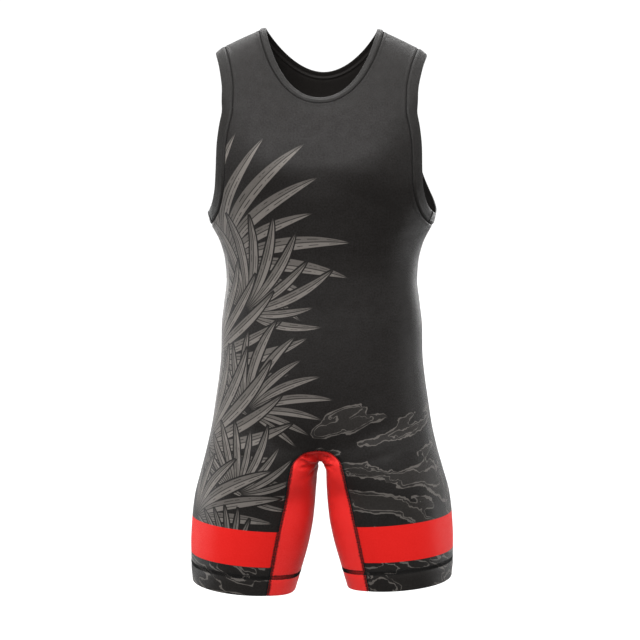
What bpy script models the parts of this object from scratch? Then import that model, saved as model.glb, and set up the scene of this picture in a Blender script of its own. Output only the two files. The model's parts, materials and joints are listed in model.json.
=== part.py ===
"""Wrestling singlet, filled out as when worn, with nobody in it.

Metres, +Z up. The origin lies level with the tops of the shoulder straps, midway between them. The front
faces -Y and the wearer's left side is at +X. Six sewn pieces, each a closed thin wall: front panel, back
panel, crotch gusset, neck band and two armhole bands.

The form is a stack of rings. Each ring has a point on the centre front, one on the side seam and one on the
centre back, joined by cubic arcs, and it drops from a tilted loop round the neck to level loops round the
trunk, which part into the leg fronts and backs. A panel is a grid on that form, cut by the armhole and by the
gusset seam. All pieces share one welded sheet, so the walls of two neighbours meet squarely at a seam.
"""

import math

import bmesh
import bpy
import numpy as np

# Cloth and sewing, in metres
PANEL_WALL = 0.0015
HEM_WALL = 0.0027
BAND_WALL = 0.0024
BAND_PROUD = 0.0004
SEAM_GAP = 0.0003
RIM_BULGE = 0.3
WELD_DISTANCE = 1e-6
NECK_BAND_WIDTH = 0.0095
ARMHOLE_BAND_WIDTH = 0.0170
NECK_BAND_ROLL = 0.0
ARMHOLE_BAND_ROLL = 0.0015

# Stance of the filled-out garment
HIP_TURN = math.radians(-5.0)
TURN_FROM_Z, TURN_TO_Z = 0.20, -0.45
LEG_SHIFT = 0.0050
LEG_SHIFT_FROM_Z, LEG_SHIFT_TO_Z = -0.60, -0.76
LEG_SHIFT_BLEND_X = 0.03
SHOULDER_TILT = -0.014
TILT_FROM_Z, TILT_TO_Z = -0.05, -0.20

# Chest: a soft swell each side of the centre front, fuller below its middle than above it
CHEST_SWELL = 0.0085
CHEST_X, CHEST_Z = 0.076, -0.222
CHEST_HALF_WIDTH = 0.076
CHEST_ABOVE, CHEST_BELOW = 0.086, 0.050

# Rows down each part of a half panel, and columns from its inner edge to its outer edge
STRAP_ROWS = 4
ARMHOLE_ROWS = 11
TRUNK_ROWS = 14
COLUMNS = 13
GUSSET_HALF_COLUMNS = 5
BAND_COLUMNS = 3

# Drops at which the rows that end at the shoulder tip and at the underarm start on the centre line, and how
# much closer the rows between them lie at the top
TIP_ROW_CENTRE, UNDERARM_ROW_CENTRE = 0.077, 0.345
ROW_CROWDING = 1.5
SEARCH_MARGIN = 0.01

# Rings of the form. "reach" and "turn" are the lengths of an arc's handles at its centre and side ends, and
# "dip" is the angle in degrees at which it leaves its centre end. The centre ends move off x = 0 in the legs,
# and the side seam lies in one plane until the stance turns it.
SIDE_Y = 0.002
RING_COLUMNS = (
    "side_x", "side_z",
    "front_x", "front_y", "front_z", "front_dip", "front_reach", "front_turn",
    "back_x", "back_y", "back_z", "back_dip", "back_reach", "back_turn",
)
RINGS = {
    "neck seam":     (.0970, -.0035, 0, -.078, -.120, 0, .075, .040, 0, .080, -.070, 0, .056, .045),
    "strap middle":  (.1245, -.0160, 0, -.094, -.143, 0, .090, .050, 0, .093, -.098, 0, .088, .055),
    "shoulder tip":  (.1505, -.0290, 0, -.105, -.166, 0, .103, .058, 0, .102, -.128, 0, .103, .062),
    "upper armhole": (.1840, -.0490, 0, -.113, -.196, 0, .118, .066, 0, .109, -.168, 0, .118, .066),
    "mid armhole":   (.2050, -.1250, 0, -.117, -.226, 0, .126, .070, 0, .114, -.212, 0, .126, .070),
    "chest":         (.2110, -.2150, 0, -.116, -.262, 0, .122, .072, 0, .115, -.258, 0, .122, .070),
    "underarm":      (.1732, -.3054, 0, -.110, -.3054, 0, .106, .068, 0, .110, -.3054, 0, .105, .066),
    "ribs":          (.1592, -.3337, 0, -.106, -.3337, 0, .099, .064, 0, .104, -.3337, 0, .098, .062),
    "low ribs":      (.1521, -.3620, 0, -.102, -.3620, 0, .093, .061, 0, .096, -.3620, 0, .092, .058),
    "waist":         (.1501, -.3903, 0, -.100, -.3903, 0, .091, .060, 0, .091, -.3903, 0, .090, .056),
    "belly":         (.1543, -.4281, 0, -.100, -.4281, 0, .095, .060, 0, .091, -.4281, 0, .094, .056),
    "low belly":     (.1583, -.4659, 0, -.102, -.4659, 0, .098, .061, 0, .098, -.4659, 0, .098, .060),
    "upper hip":     (.1588, -.5037, 0, -.104, -.5037, 0, .099, .062, 0, .109, -.5037, 0, .100, .067),
    "hip":           (.1622, -.5415, 0, -.105, -.5415, 0, .101, .063, 0, .120, -.5415, 0, .103, .075),
    "seat":          (.1676, -.5792, 0, -.104, -.5792, 0, .104, .066, 0, .127, -.5792, 0, .106, .082),
    "low seat":      (.1733, -.6170, 0, -.101, -.6170, 0, .108, .074, 0, .127, -.6170, 0, .110, .086),
    "fork":          (.1816, -.6548, 0, -.088, -.6548, 13, .115, .086, 0, .114, -.6548, 4, .118, .084),
    "thigh top":     (.1920, -.6926, .022, -.083, -.6926, 26, .097, .086, .022, .090, -.6926, 24, .098, .080),
    "upper thigh":   (.2019, -.7303, .040, -.073, -.7303, 42, .086, .087, .040, .070, -.7303, 40, .084, .080),
    "mid thigh":     (.2064, -.7681, .044, -.071, -.7681, 42, .084, .084, .044, .065, -.7681, 41, .082, .078),
    "thigh":         (.2082, -.8059, .051, -.068, -.8059, 42, .081, .081, .051, .063, -.8059, 42, .079, .075),
    "low thigh":     (.2071, -.8437, .060, -.065, -.8437, 42, .077, .077, .060, .061, -.8437, 42, .076, .073),
    "hem":           (.2046, -.8850, .070, -.063, -.8850, 42, .072, .074, .070, .059, -.8850, 42, .071, .070),
}

# Armhole seams, where the bands are sewn on, as seen from the front: half width and height
ARMHOLE_COLUMNS = ("front_x", "front_z", "back_x", "back_z")
ARMHOLE = {
    "shoulder tip": (.1505, -.0290, .1505, -.0290),
    "over the tip": (.1484, -.0348, .1480, -.0348),
    "collarbone":   (.1405, -.0570, .1390, -.0570),
    "upper":        (.1327, -.0996, .1285, -.1000),
    "narrowest":    (.1326, -.1290, .1260, -.1350),
    "upper chest":  (.1382, -.1595, .1290, -.1700),
    "chest":        (.1422, -.1888, .1370, -.2050),
    "low chest":    (.1432, -.2200, .1462, -.2345),
    "turn":         (.1448, -.2500, .1565, -.2595),
    "under":        (.1512, -.2770, .1662, -.2800),
    "side":         (.1618, -.2955, .1716, -.2948),
    "underarm":     (.1732, -.3054, .1732, -.3054),
}

# Gusset stations from the crotch crest to the hem: its front seam, its innermost line and its back seam, with
# the height at which the same row of the panels meets the side seam
GUSSET_COLUMNS = ("station", "front_x", "front_z", "mid_x", "mid_y", "mid_z", "back_x", "back_z", "side_z")
GUSSET = {
    "crest":       (.00, .0000, -.6515, .0000, -.006, -.6770, .0000, -.6400, -.6400),
    "arch round":  (.04, .0145, -.6531, .0028, -.006, -.6780, .0138, -.6432, -.6476),
    "arch top":    (.08, .0262, -.6590, .0052, -.006, -.6802, .0270, -.6480, -.6550),
    "arch side":   (.16, .0378, -.6735, .0082, -.006, -.6880, .0395, -.6640, -.6720),
    "arch foot":   (.25, .0425, -.6920, .0094, -.006, -.7000, .0455, -.6870, -.6910),
    "upper thigh": (.38, .0478, -.7220, .0098, -.005, -.7265, .0510, -.7210, -.7210),
    "mid thigh":   (.56, .0560, -.7600, .0128, -.004, -.7640, .0590, -.7610, -.7590),
    "thigh":       (.73, .0640, -.7980, .0197, -.003, -.8020, .0665, -.8000, -.7960),
    "low thigh":   (.86, .0706, -.8315, .0289, -.002, -.8355, .0730, -.8335, -.8280),
    "hem fold":    (.93, .0745, -.8495, .0346, -.001, -.8530, .0765, -.8495, -.8380),
    "hem":         (1.00, .0790, -.8755, .0415, .000, -.8785, .0805, -.8755, -.8615),
}
HEM_STATION = 0.93
HEM_STEP = 0.008
LEG_STATIONS = (0.0, 0.04, 0.08, 0.12, 0.17, 0.23, 0.31, 0.41, 0.51, 0.61, 0.71, 0.80, 0.87,
                HEM_STATION, HEM_STATION + HEM_STEP, 1.0)
HEM_ROWS = 2
SEAM_HANDLE, MIDDLE_HANDLE = 0.33, 0.36

CHARCOAL = (0.028, 0.026, 0.025, 1.0)
RED = (0.690, 0.022, 0.018, 1.0)
PIECE_COLOURS = {
    "front_panel": CHARCOAL,
    "back_panel": CHARCOAL,
    "crotch_gusset": RED,
    "neck_band": CHARCOAL,
    "armhole_band_left": CHARCOAL,
    "armhole_band_right": CHARCOAL,
}
CLOTH_ROUGHNESS = 0.62
SHARP_ANGLE = math.radians(50.0)


def ease(low, high, value):
    """0 at low, 1 at high and smooth between."""
    share = min(max((value - low) / (high - low), 0.0), 1.0)
    return share * share * (3.0 - 2.0 * share)


class Curve:
    """Smooth curve through the rows of a table that never swings past them."""

    def __init__(self, knots, rows):
        self.knots = np.array(knots, float)
        self.rows = np.array(rows, float)
        steps = np.diff(self.knots)[:, None]
        rises = np.diff(self.rows, axis=0) / steps
        before, after = rises[:-1], rises[1:]
        level = before * after <= 0.0
        total = np.where(level, 1.0, before + after)
        inner = np.where(level, 0.0, 2.0 * before * after / total)
        self.slopes = np.vstack([rises[:1], inner, rises[-1:]])

    def at(self, knot):
        i = int(np.clip(np.searchsorted(self.knots, knot) - 1, 0, len(self.knots) - 2))
        step = self.knots[i + 1] - self.knots[i]
        s = (knot - self.knots[i]) / step
        if not 0.0 <= s <= 1.0:
            end = 0 if s < 0.0 else i + 1
            return self.rows[end] + self.slopes[end] * (knot - self.knots[end])
        low, high = self.rows[i], self.rows[i + 1]
        return (
            (1 + 2 * s) * (1 - s) ** 2 * low
            + s * (1 - s) ** 2 * step * self.slopes[i]
            + s * s * (3 - 2 * s) * high
            + s * s * (s - 1) * step * self.slopes[i + 1]
        )


def column(names, name):
    return names.index(name)


def table_curve(table, knots):
    return Curve(knots, list(table.values()))


RING_ROWS = np.array(list(RINGS.values()), float)
RING_DROPS = -0.5 * (
    RING_ROWS[:, column(RING_COLUMNS, "front_z")] + RING_ROWS[:, column(RING_COLUMNS, "side_z")]
)
RING_CURVE = table_curve(RINGS, RING_DROPS)
ARMHOLE_CURVE = table_curve(ARMHOLE, np.linspace(0.0, 1.0, len(ARMHOLE)))
GUSSET_CURVE = table_curve(GUSSET, [row[0] for row in GUSSET.values()])
TIP_DROP = RING_DROPS[list(RINGS).index("shoulder tip")]
UNDERARM_DROP = RING_DROPS[list(RINGS).index("underarm")]
NECK_SEAM_X = RINGS["neck seam"][column(RING_COLUMNS, "side_x")]


def bezier(p0, p1, p2, p3, t):
    s = 1.0 - t
    return s * s * s * p0 + 3 * s * s * t * p1 + 3 * s * t * t * p2 + t * t * t * p3


def chest_swell(x, z):
    """How far the chest stands out in front of its ring at this place."""
    u = (abs(x) - CHEST_X) / CHEST_HALF_WIDTH
    w = (z - CHEST_Z) / (CHEST_ABOVE if z > CHEST_Z else CHEST_BELOW)
    return CHEST_SWELL * math.exp(-2.0 * (u * u + w * w))


def form_point(side, drop, t):
    """Point of the front or back form on the ring at this drop, from its centre (t=0) to its side (t=1)."""
    ring = dict(zip(RING_COLUMNS, RING_CURVE.at(drop)))
    forward = -1.0 if side == "front" else 1.0
    centre = np.array([ring[side + "_x"], ring[side + "_y"], ring[side + "_z"]])
    edge = np.array([ring["side_x"], SIDE_Y, ring["side_z"]])
    dip = math.radians(ring[side + "_dip"])
    leave = np.array([math.cos(dip), forward * math.sin(dip), 0.0]) * ring[side + "_reach"]
    arrive = np.array([0.0, forward * ring[side + "_turn"], 0.0])
    point = bezier(centre, centre + leave, edge + arrive, edge, t)
    if side == "front":
        point[1] -= chest_swell(point[0], point[2]) * (1.0 - t * t)
    return point


def solve(low, high, error, rounds=34):
    """Where error, which rises from below nought at low to above it at high, is nought."""
    for _ in range(rounds):
        middle = 0.5 * (low + high)
        if error(middle) < 0.0:
            low = middle
        else:
            high = middle
    return 0.5 * (low + high)


def t_at_width(side, drop, x):
    return solve(0.0, 1.0, lambda t: form_point(side, drop, t)[0] - x)


def locate(side, x, z, low_drop, high_drop):
    """Drop and t of the point that is seen at x, z from the front."""
    drop = solve(low_drop, high_drop, lambda d: z - form_point(side, d, t_at_width(side, d, x))[2])
    return drop, t_at_width(side, drop, x)


def lerp(start, end, share):
    return start + (end - start) * share


def panel_rows(side):
    """Rows of a half panel: the drop at both ends, t at both ends, and how late the row changes its drop."""
    rows = []
    for i in range(STRAP_ROWS):
        share = i / STRAP_ROWS
        inner = lerp(RING_DROPS[0], TIP_ROW_CENTRE, share)
        rows.append((inner, lerp(RING_DROPS[0], TIP_DROP, share), 0.0, 1.0, 1.0))
    x_column = column(ARMHOLE_COLUMNS, side + "_x")
    for i in range(ARMHOLE_ROWS):
        share = i / ARMHOLE_ROWS
        inner = lerp(TIP_ROW_CENTRE, UNDERARM_ROW_CENTRE, share ** ROW_CROWDING)
        x, z = ARMHOLE_CURVE.at(share)[x_column:x_column + 2]
        outer, t = (TIP_DROP, 1.0) if i == 0 else locate(side, x, z, TIP_DROP, UNDERARM_DROP + SEARCH_MARGIN)
        rows.append((inner, outer, 0.0, t, 1.0))
    crest = dict(zip(GUSSET_COLUMNS, GUSSET_CURVE.at(0.0)))
    for i in range(TRUNK_ROWS):
        share = i / TRUNK_ROWS
        inner = lerp(UNDERARM_ROW_CENTRE, -crest[side + "_z"], share)
        outer = lerp(UNDERARM_DROP, -crest["side_z"], share)
        rows.append((inner, outer, 0.0, 1.0, 1.0 - 2.0 * share))
    for station in LEG_STATIONS:
        place = dict(zip(GUSSET_COLUMNS, GUSSET_CURVE.at(station)))
        inner = -place[side + "_z"]
        t = 0.0 if station == 0.0 else t_at_width(side, inner, place[side + "_x"])
        rows.append((inner, -place["side_z"], t, 1.0, station - 1.0))
    return rows


def change_by(share, late):
    """Share of its change of drop that a row has made: it changes late (1), evenly (0) or early (-1)."""
    if late > 0.0:
        return share ** (1.0 + late)
    return 1.0 - (1.0 - share) ** (1.0 - late)


def panel_grid(side):
    """Points of the half panel at +X, by row and column."""
    grid = []
    for inner, outer, t_inner, t_outer, late in panel_rows(side):
        shares = [c / COLUMNS for c in range(COLUMNS + 1)]
        grid.append([
            form_point(side, lerp(inner, outer, change_by(share, late)), lerp(t_inner, t_outer, share))
            for share in shares
        ])
    return grid


class Sheet:
    """Welded sheet of quads, each with the name of the piece it belongs to."""

    def __init__(self):
        self.points = []
        self.index = {}
        self.faces = {}
        self.doubled = set()

    @staticmethod
    def key(point):
        return tuple(int(round(float(value) / WELD_DISTANCE)) for value in point)

    def vertex(self, point):
        key = self.key(point)
        if key not in self.index:
            self.index[key] = len(self.points)
            self.points.append(np.array(point, float))
        return self.index[key]

    def move(self, place):
        """Moves every point to where place() puts it."""
        self.points = [place(point) for point in self.points]
        self.index = {self.key(point): v for v, point in enumerate(self.points)}

    def add_face(self, piece, corners):
        ring = [v for i, v in enumerate(corners) if v != corners[i - 1]]
        self.faces.setdefault(piece, []).append(ring)

    def add_grid(self, piece, grid, flip, doubled_rows=0):
        ids = [[self.vertex(point) for point in row] for row in grid]
        for row in ids[len(ids) - doubled_rows:]:
            self.doubled.update(row)
        for upper, lower in zip(ids, ids[1:]):
            for c in range(len(upper) - 1):
                corners = [upper[c], lower[c], lower[c + 1], upper[c + 1]]
                self.add_face(piece, corners[::-1] if flip else corners)
        return ids

    def add_both(self, piece, grid, flip):
        """Adds the grid of the +X half and its mirror image, both ending in the turned-up hem."""
        ids = self.add_grid(piece, grid, flip, HEM_ROWS)
        mirrored = [[point * np.array([-1.0, 1.0, 1.0]) for point in row] for row in grid]
        self.add_grid(piece, mirrored, not flip, HEM_ROWS)
        return ids

    def normals(self):
        total = np.zeros((len(self.points), 3))
        for faces in self.faces.values():
            for face in faces:
                corners = [self.points[v] for v in face]
                normal = np.cross(corners[2] - corners[0], corners[-1] - corners[1])
                for v in face:
                    total[v] += normal
        return total / np.linalg.norm(total, axis=1)[:, None]

    def edges(self, pieces=None):
        """Directed edges of the named pieces, or of all, that no face of them has the other way."""
        directed = set()
        for piece, faces in self.faces.items():
            if pieces is None or piece in pieces:
                for face in faces:
                    directed.update(zip(face, face[1:] + face[:1]))
        return {(a, b) for a, b in directed if (b, a) not in directed}


def inward(points, normals, edges):
    """For each vertex on these directed boundary edges, how to move so that its edges move in by 1."""
    sides = {}
    for a, b in edges:
        along = points[b] - points[a]
        for v in (a, b):
            side = np.cross(normals[v], along)
            sides.setdefault(v, []).append(side / np.linalg.norm(side))
    moves = {}
    for v, found in sides.items():
        total = sum(found)
        moves[v] = total / max(1.0, float(total @ found[0]))
    return moves


def add_gusset(sheet, front_ids, back_ids):
    """Bends the gusset from the front seam, over the innermost line, to the back seam."""
    first = len(front_ids) - len(LEG_STATIONS)
    seam_ids = {ids[row][0] for ids in (front_ids, back_ids) for row in range(first, len(ids))}
    seam_edges = {edge for edge in sheet.edges() if seam_ids.issuperset(edge)}
    moves = inward(sheet.points, sheet.normals(), seam_edges)
    grid = []
    for i, station in enumerate(LEG_STATIONS):
        place = dict(zip(GUSSET_COLUMNS, GUSSET_CURVE.at(station)))
        middle = np.array([place["mid_x"], place["mid_y"], place["mid_z"]])
        row = []
        for ids, forward in ((front_ids, -1.0), (back_ids, 1.0)):
            seam_id = ids[first + i][0]
            seam = sheet.points[seam_id]
            out = -moves[seam_id] / np.linalg.norm(moves[seam_id])
            if station == 0.0:
                out = np.array([0.0, out[1], out[2]]) / math.hypot(out[1], out[2])
            chord = np.linalg.norm(seam - middle)
            handle = middle + np.array([0.0, forward * MIDDLE_HANDLE * chord, 0.0])
            arc = [
                bezier(seam, seam + out * SEAM_HANDLE * chord, handle, middle, c / GUSSET_HALF_COLUMNS)
                for c in range(GUSSET_HALF_COLUMNS + 1)
            ]
            row += arc if forward < 0.0 else arc[::-1][1:]
        grid.append(row)
    sheet.add_both("crotch_gusset", grid, True)


def in_stance(point):
    """Turns the hips a little against the shoulders, with one leg and the other shoulder a little lower."""
    x, y, z = point
    turn = HIP_TURN * min(max((z - TURN_FROM_Z) / (TURN_TO_Z - TURN_FROM_Z), 0.0), 1.0)
    drop = LEG_SHIFT * ease(-LEG_SHIFT_FROM_Z, -LEG_SHIFT_TO_Z, -z)
    side = 2.0 * ease(-LEG_SHIFT_BLEND_X, LEG_SHIFT_BLEND_X, x) - 1.0
    tilt = SHOULDER_TILT * (1.0 - ease(-TILT_FROM_Z, -TILT_TO_Z, -z))
    return np.array([
        x * math.cos(turn) - y * math.sin(turn),
        x * math.sin(turn) + y * math.cos(turn),
        z + drop * side + tilt * x,
    ])


def loops(edges):
    """Chains directed boundary edges into closed loops of vertices."""
    follow = dict(edges)
    found = []
    while follow:
        start, vertex = follow.popitem()
        loop = [start]
        while vertex != start:
            loop.append(vertex)
            vertex = follow.pop(vertex)
        found.append(loop)
    return found


def add_bands(sheet):
    """Sews a band on round the neck and each armhole, and returns the vertices of the bands' free edges."""
    normals = sheet.normals()
    open_edges = sheet.edges()
    moves = inward(sheet.points, normals, open_edges)
    for loop in loops(open_edges):
        centre = np.mean([sheet.points[v] for v in loop], axis=0)
        if centre[2] < -UNDERARM_DROP:
            continue
        if abs(centre[0]) < 0.5 * NECK_SEAM_X:
            piece, width, roll = "neck_band", NECK_BAND_WIDTH, NECK_BAND_ROLL
        else:
            piece = "armhole_band_left" if centre[0] > 0.0 else "armhole_band_right"
            width, roll = ARMHOLE_BAND_WIDTH, ARMHOLE_BAND_ROLL
        grid = []
        for v in loop + loop[:1]:
            out = -moves[v] / np.linalg.norm(moves[v])
            shares = [c / BAND_COLUMNS for c in range(BAND_COLUMNS + 1)]
            grid.append([sheet.points[v] + out * width * s - normals[v] * roll * s * s for s in shares])
        sheet.add_grid(piece, grid, True)


def wall_faces(piece, doubled):
    """How far the outer and inner faces of a wall stand from the sheet."""
    if "band" in piece:
        return BAND_PROUD, BAND_WALL - BAND_PROUD
    return 0.0, HEM_WALL if doubled else PANEL_WALL


def build_piece(sheet, normals, piece):
    """Makes one piece of the sheet a closed wall, with half a seam gap at its seams and round free edges."""
    edges = sheet.edges([piece])
    open_edges = sheet.edges()
    free_edges = edges & open_edges
    seam_moves = inward(sheet.points, normals, edges - free_edges)
    edge_moves = inward(sheet.points, normals, open_edges)
    bm = bmesh.new()
    outer, inner, rim = {}, {}, {}
    for v in sorted({v for face in sheet.faces[piece] for v in face}):
        point = sheet.points[v] + seam_moves.get(v, 0.0) * 0.5 * SEAM_GAP
        proud, deep = wall_faces(piece, v in sheet.doubled)
        outer[v] = bm.verts.new(point + normals[v] * proud)
        inner[v] = bm.verts.new(point - normals[v] * deep)
        if v in edge_moves:
            middle = point + normals[v] * 0.5 * (proud - deep)
            rim[v] = bm.verts.new(middle - edge_moves[v] * RIM_BULGE * (proud + deep))
    for face in sheet.faces[piece]:
        bm.faces.new([outer[v] for v in face])
        bm.faces.new([inner[v] for v in reversed(face)])
    for a, b in edges:
        if (a, b) in free_edges:
            bm.faces.new((outer[b], outer[a], rim[a], rim[b]))
            bm.faces.new((rim[b], rim[a], inner[a], inner[b]))
        else:
            corners = (outer[b], outer[a], rim.get(a), inner[a], inner[b], rim.get(b))
            bm.faces.new([corner for corner in corners if corner])
    bmesh.ops.triangulate(bm, faces=bm.faces)
    mesh = bpy.data.meshes.new(piece)
    bm.to_mesh(mesh)
    bm.free()
    mesh.shade_smooth()
    mesh.set_sharp_from_angle(angle=SHARP_ANGLE)
    return mesh


def cloth_material(name, colour):
    material = bpy.data.materials.new(name)
    material.use_nodes = True
    shader = material.node_tree.nodes["Principled BSDF"]
    shader.inputs["Base Color"].default_value = colour
    shader.inputs["Roughness"].default_value = CLOTH_ROUGHNESS
    shader.inputs["Metallic"].default_value = 0.0
    return material


def main():
    for obj in list(bpy.data.objects):
        bpy.data.objects.remove(obj, do_unlink=True)
    sheet = Sheet()
    front_ids = sheet.add_both("front_panel", panel_grid("front"), False)
    back_ids = sheet.add_both("back_panel", panel_grid("back"), True)
    add_gusset(sheet, front_ids, back_ids)
    sheet.move(in_stance)
    add_bands(sheet)
    normals = sheet.normals()
    for piece, colour in PIECE_COLOURS.items():
        mesh = build_piece(sheet, normals, piece)
        mesh.materials.append(cloth_material(piece, colour))
        bpy.context.scene.collection.objects.link(bpy.data.objects.new(piece, mesh))


main()
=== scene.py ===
"""Looks of the wrestling singlet: printed stretch knit, folded bands, flat seams and soft studio light.

Metres, +Z up. The front faces -Y and the wearer's left side is at +X. The cloth repeats the rings, armholes and
gusset stations of the part's source on a finer grid, with its seam grooves, hem pinch and creases. Every corner
also keeps its place in the flat cut: the distance from the centre line and the height above the leg hem.
"""

import json
import math

import bpy
import numpy as np
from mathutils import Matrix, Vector
from mathutils.kdtree import KDTree

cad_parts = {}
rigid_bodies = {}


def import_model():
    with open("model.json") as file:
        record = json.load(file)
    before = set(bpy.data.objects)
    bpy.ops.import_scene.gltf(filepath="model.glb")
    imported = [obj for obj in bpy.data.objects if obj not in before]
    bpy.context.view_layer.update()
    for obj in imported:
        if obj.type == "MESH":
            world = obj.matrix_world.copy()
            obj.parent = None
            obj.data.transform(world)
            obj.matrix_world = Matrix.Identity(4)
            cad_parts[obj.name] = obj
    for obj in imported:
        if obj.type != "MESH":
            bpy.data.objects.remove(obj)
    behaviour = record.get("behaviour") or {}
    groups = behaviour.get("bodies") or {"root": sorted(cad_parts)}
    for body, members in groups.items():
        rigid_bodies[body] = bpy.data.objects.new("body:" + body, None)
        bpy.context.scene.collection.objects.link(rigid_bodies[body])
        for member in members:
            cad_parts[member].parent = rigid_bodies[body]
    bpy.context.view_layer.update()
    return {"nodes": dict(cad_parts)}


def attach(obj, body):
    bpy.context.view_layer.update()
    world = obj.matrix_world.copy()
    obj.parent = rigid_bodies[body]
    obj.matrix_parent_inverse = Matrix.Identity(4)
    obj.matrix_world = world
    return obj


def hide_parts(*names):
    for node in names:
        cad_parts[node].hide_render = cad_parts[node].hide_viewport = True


SIDES = ("front", "back")
PANELS = ("front_panel", "back_panel", "crotch_gusset")
ARMHOLE_BANDS = ("armhole_band_left", "armhole_band_right")
OUTSIDE, INSIDE = 0, 1
FLAT_MAP = "flat_cut"

# Cloth and sewing, in metres
PANEL_WALL = 0.0015
HEM_WALL = 0.0027
BAND_WALL = 0.0024
BAND_PROUD = 0.0004
SEAM_GAP = 0.0003
RIM_BULGE = 0.5
RIM_STEPS = 5
WELD_DISTANCE = 1e-6
SHARP_ANGLE = math.radians(60.0)
NECK_BAND_WIDTH, NECK_BAND_ROLL = 0.0095, 0.0
ARMHOLE_BAND_WIDTH, ARMHOLE_BAND_ROLL = 0.0170, 0.0015
HEM_STITCH_HEIGHT = 0.0290
HEM_THICKENS_OVER = 0.0040
LEVEL_BASE, LEVEL_FROM, LEVEL_TO = 0.88, 0.12, 0.22
STRAP_FOOT_Z = -0.15
RED_BAND_FROM, RED_BAND_TO = 0.0455, 0.1030

# Stance of the filled-out garment
HIP_TURN = math.radians(-5.0)
TURN_FROM_Z, TURN_TO_Z = 0.20, -0.45
LEG_SHIFT = 0.0050
LEG_SHIFT_FROM_Z, LEG_SHIFT_TO_Z = -0.60, -0.76
LEG_SHIFT_BLEND_X = 0.03
SHOULDER_TILT = -0.014
TILT_FROM_Z, TILT_TO_Z = -0.05, -0.20

# Chest: a soft swell each side of the centre front, fuller below its middle than above it
CHEST_SWELL = 0.0085
CHEST_X, CHEST_Z = 0.076, -0.222
CHEST_HALF_WIDTH = 0.076
CHEST_ABOVE, CHEST_BELOW = 0.086, 0.050

# Rows down each part of a half panel and columns across it, with more of them close to the seams
STRAP_ROWS = 18
ARMHOLE_ROWS = 44
TRUNK_ROWS = 60
LEG_ROWS = 80
COLUMNS = 50
CLOSE_SHARES = np.array((0.004, 0.009, 0.015, 0.022))
CLOSE_STRAP_SHARES = (0.02, 0.04, 0.08, 0.14)
CLOSE_STATIONS = np.arange(1, 24) / 150.0
LEAST_STATION_GAP = 0.004
GUSSET_HALF_COLUMNS = 48
BAND_COLUMNS = 10
TIP_ROW_CENTRE, UNDERARM_ROW_CENTRE = 0.077, 0.345
ROW_CROWDING = 1.5
STRAP_SHARES = np.sort(np.concatenate([np.arange(STRAP_ROWS) / STRAP_ROWS, CLOSE_STRAP_SHARES]))
COLUMN_SHARES = np.sort(np.concatenate([np.linspace(0.0, 1.0, COLUMNS + 1), CLOSE_SHARES, 1.0 - CLOSE_SHARES]))
EVEN_STATIONS = np.linspace(0.0, 1.0, LEG_ROWS + 1)
LEG_STATIONS = np.concatenate([
    [0.0], CLOSE_STATIONS, EVEN_STATIONS[EVEN_STATIONS > CLOSE_STATIONS[-1] + LEAST_STATION_GAP]])

# Search for the place of an armhole point, and the pitch of the paths from which distances are taken
SEARCH_MARGIN, SEARCH_ROUNDS = 0.01, 34
PATH_PITCH = 0.0008

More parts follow.
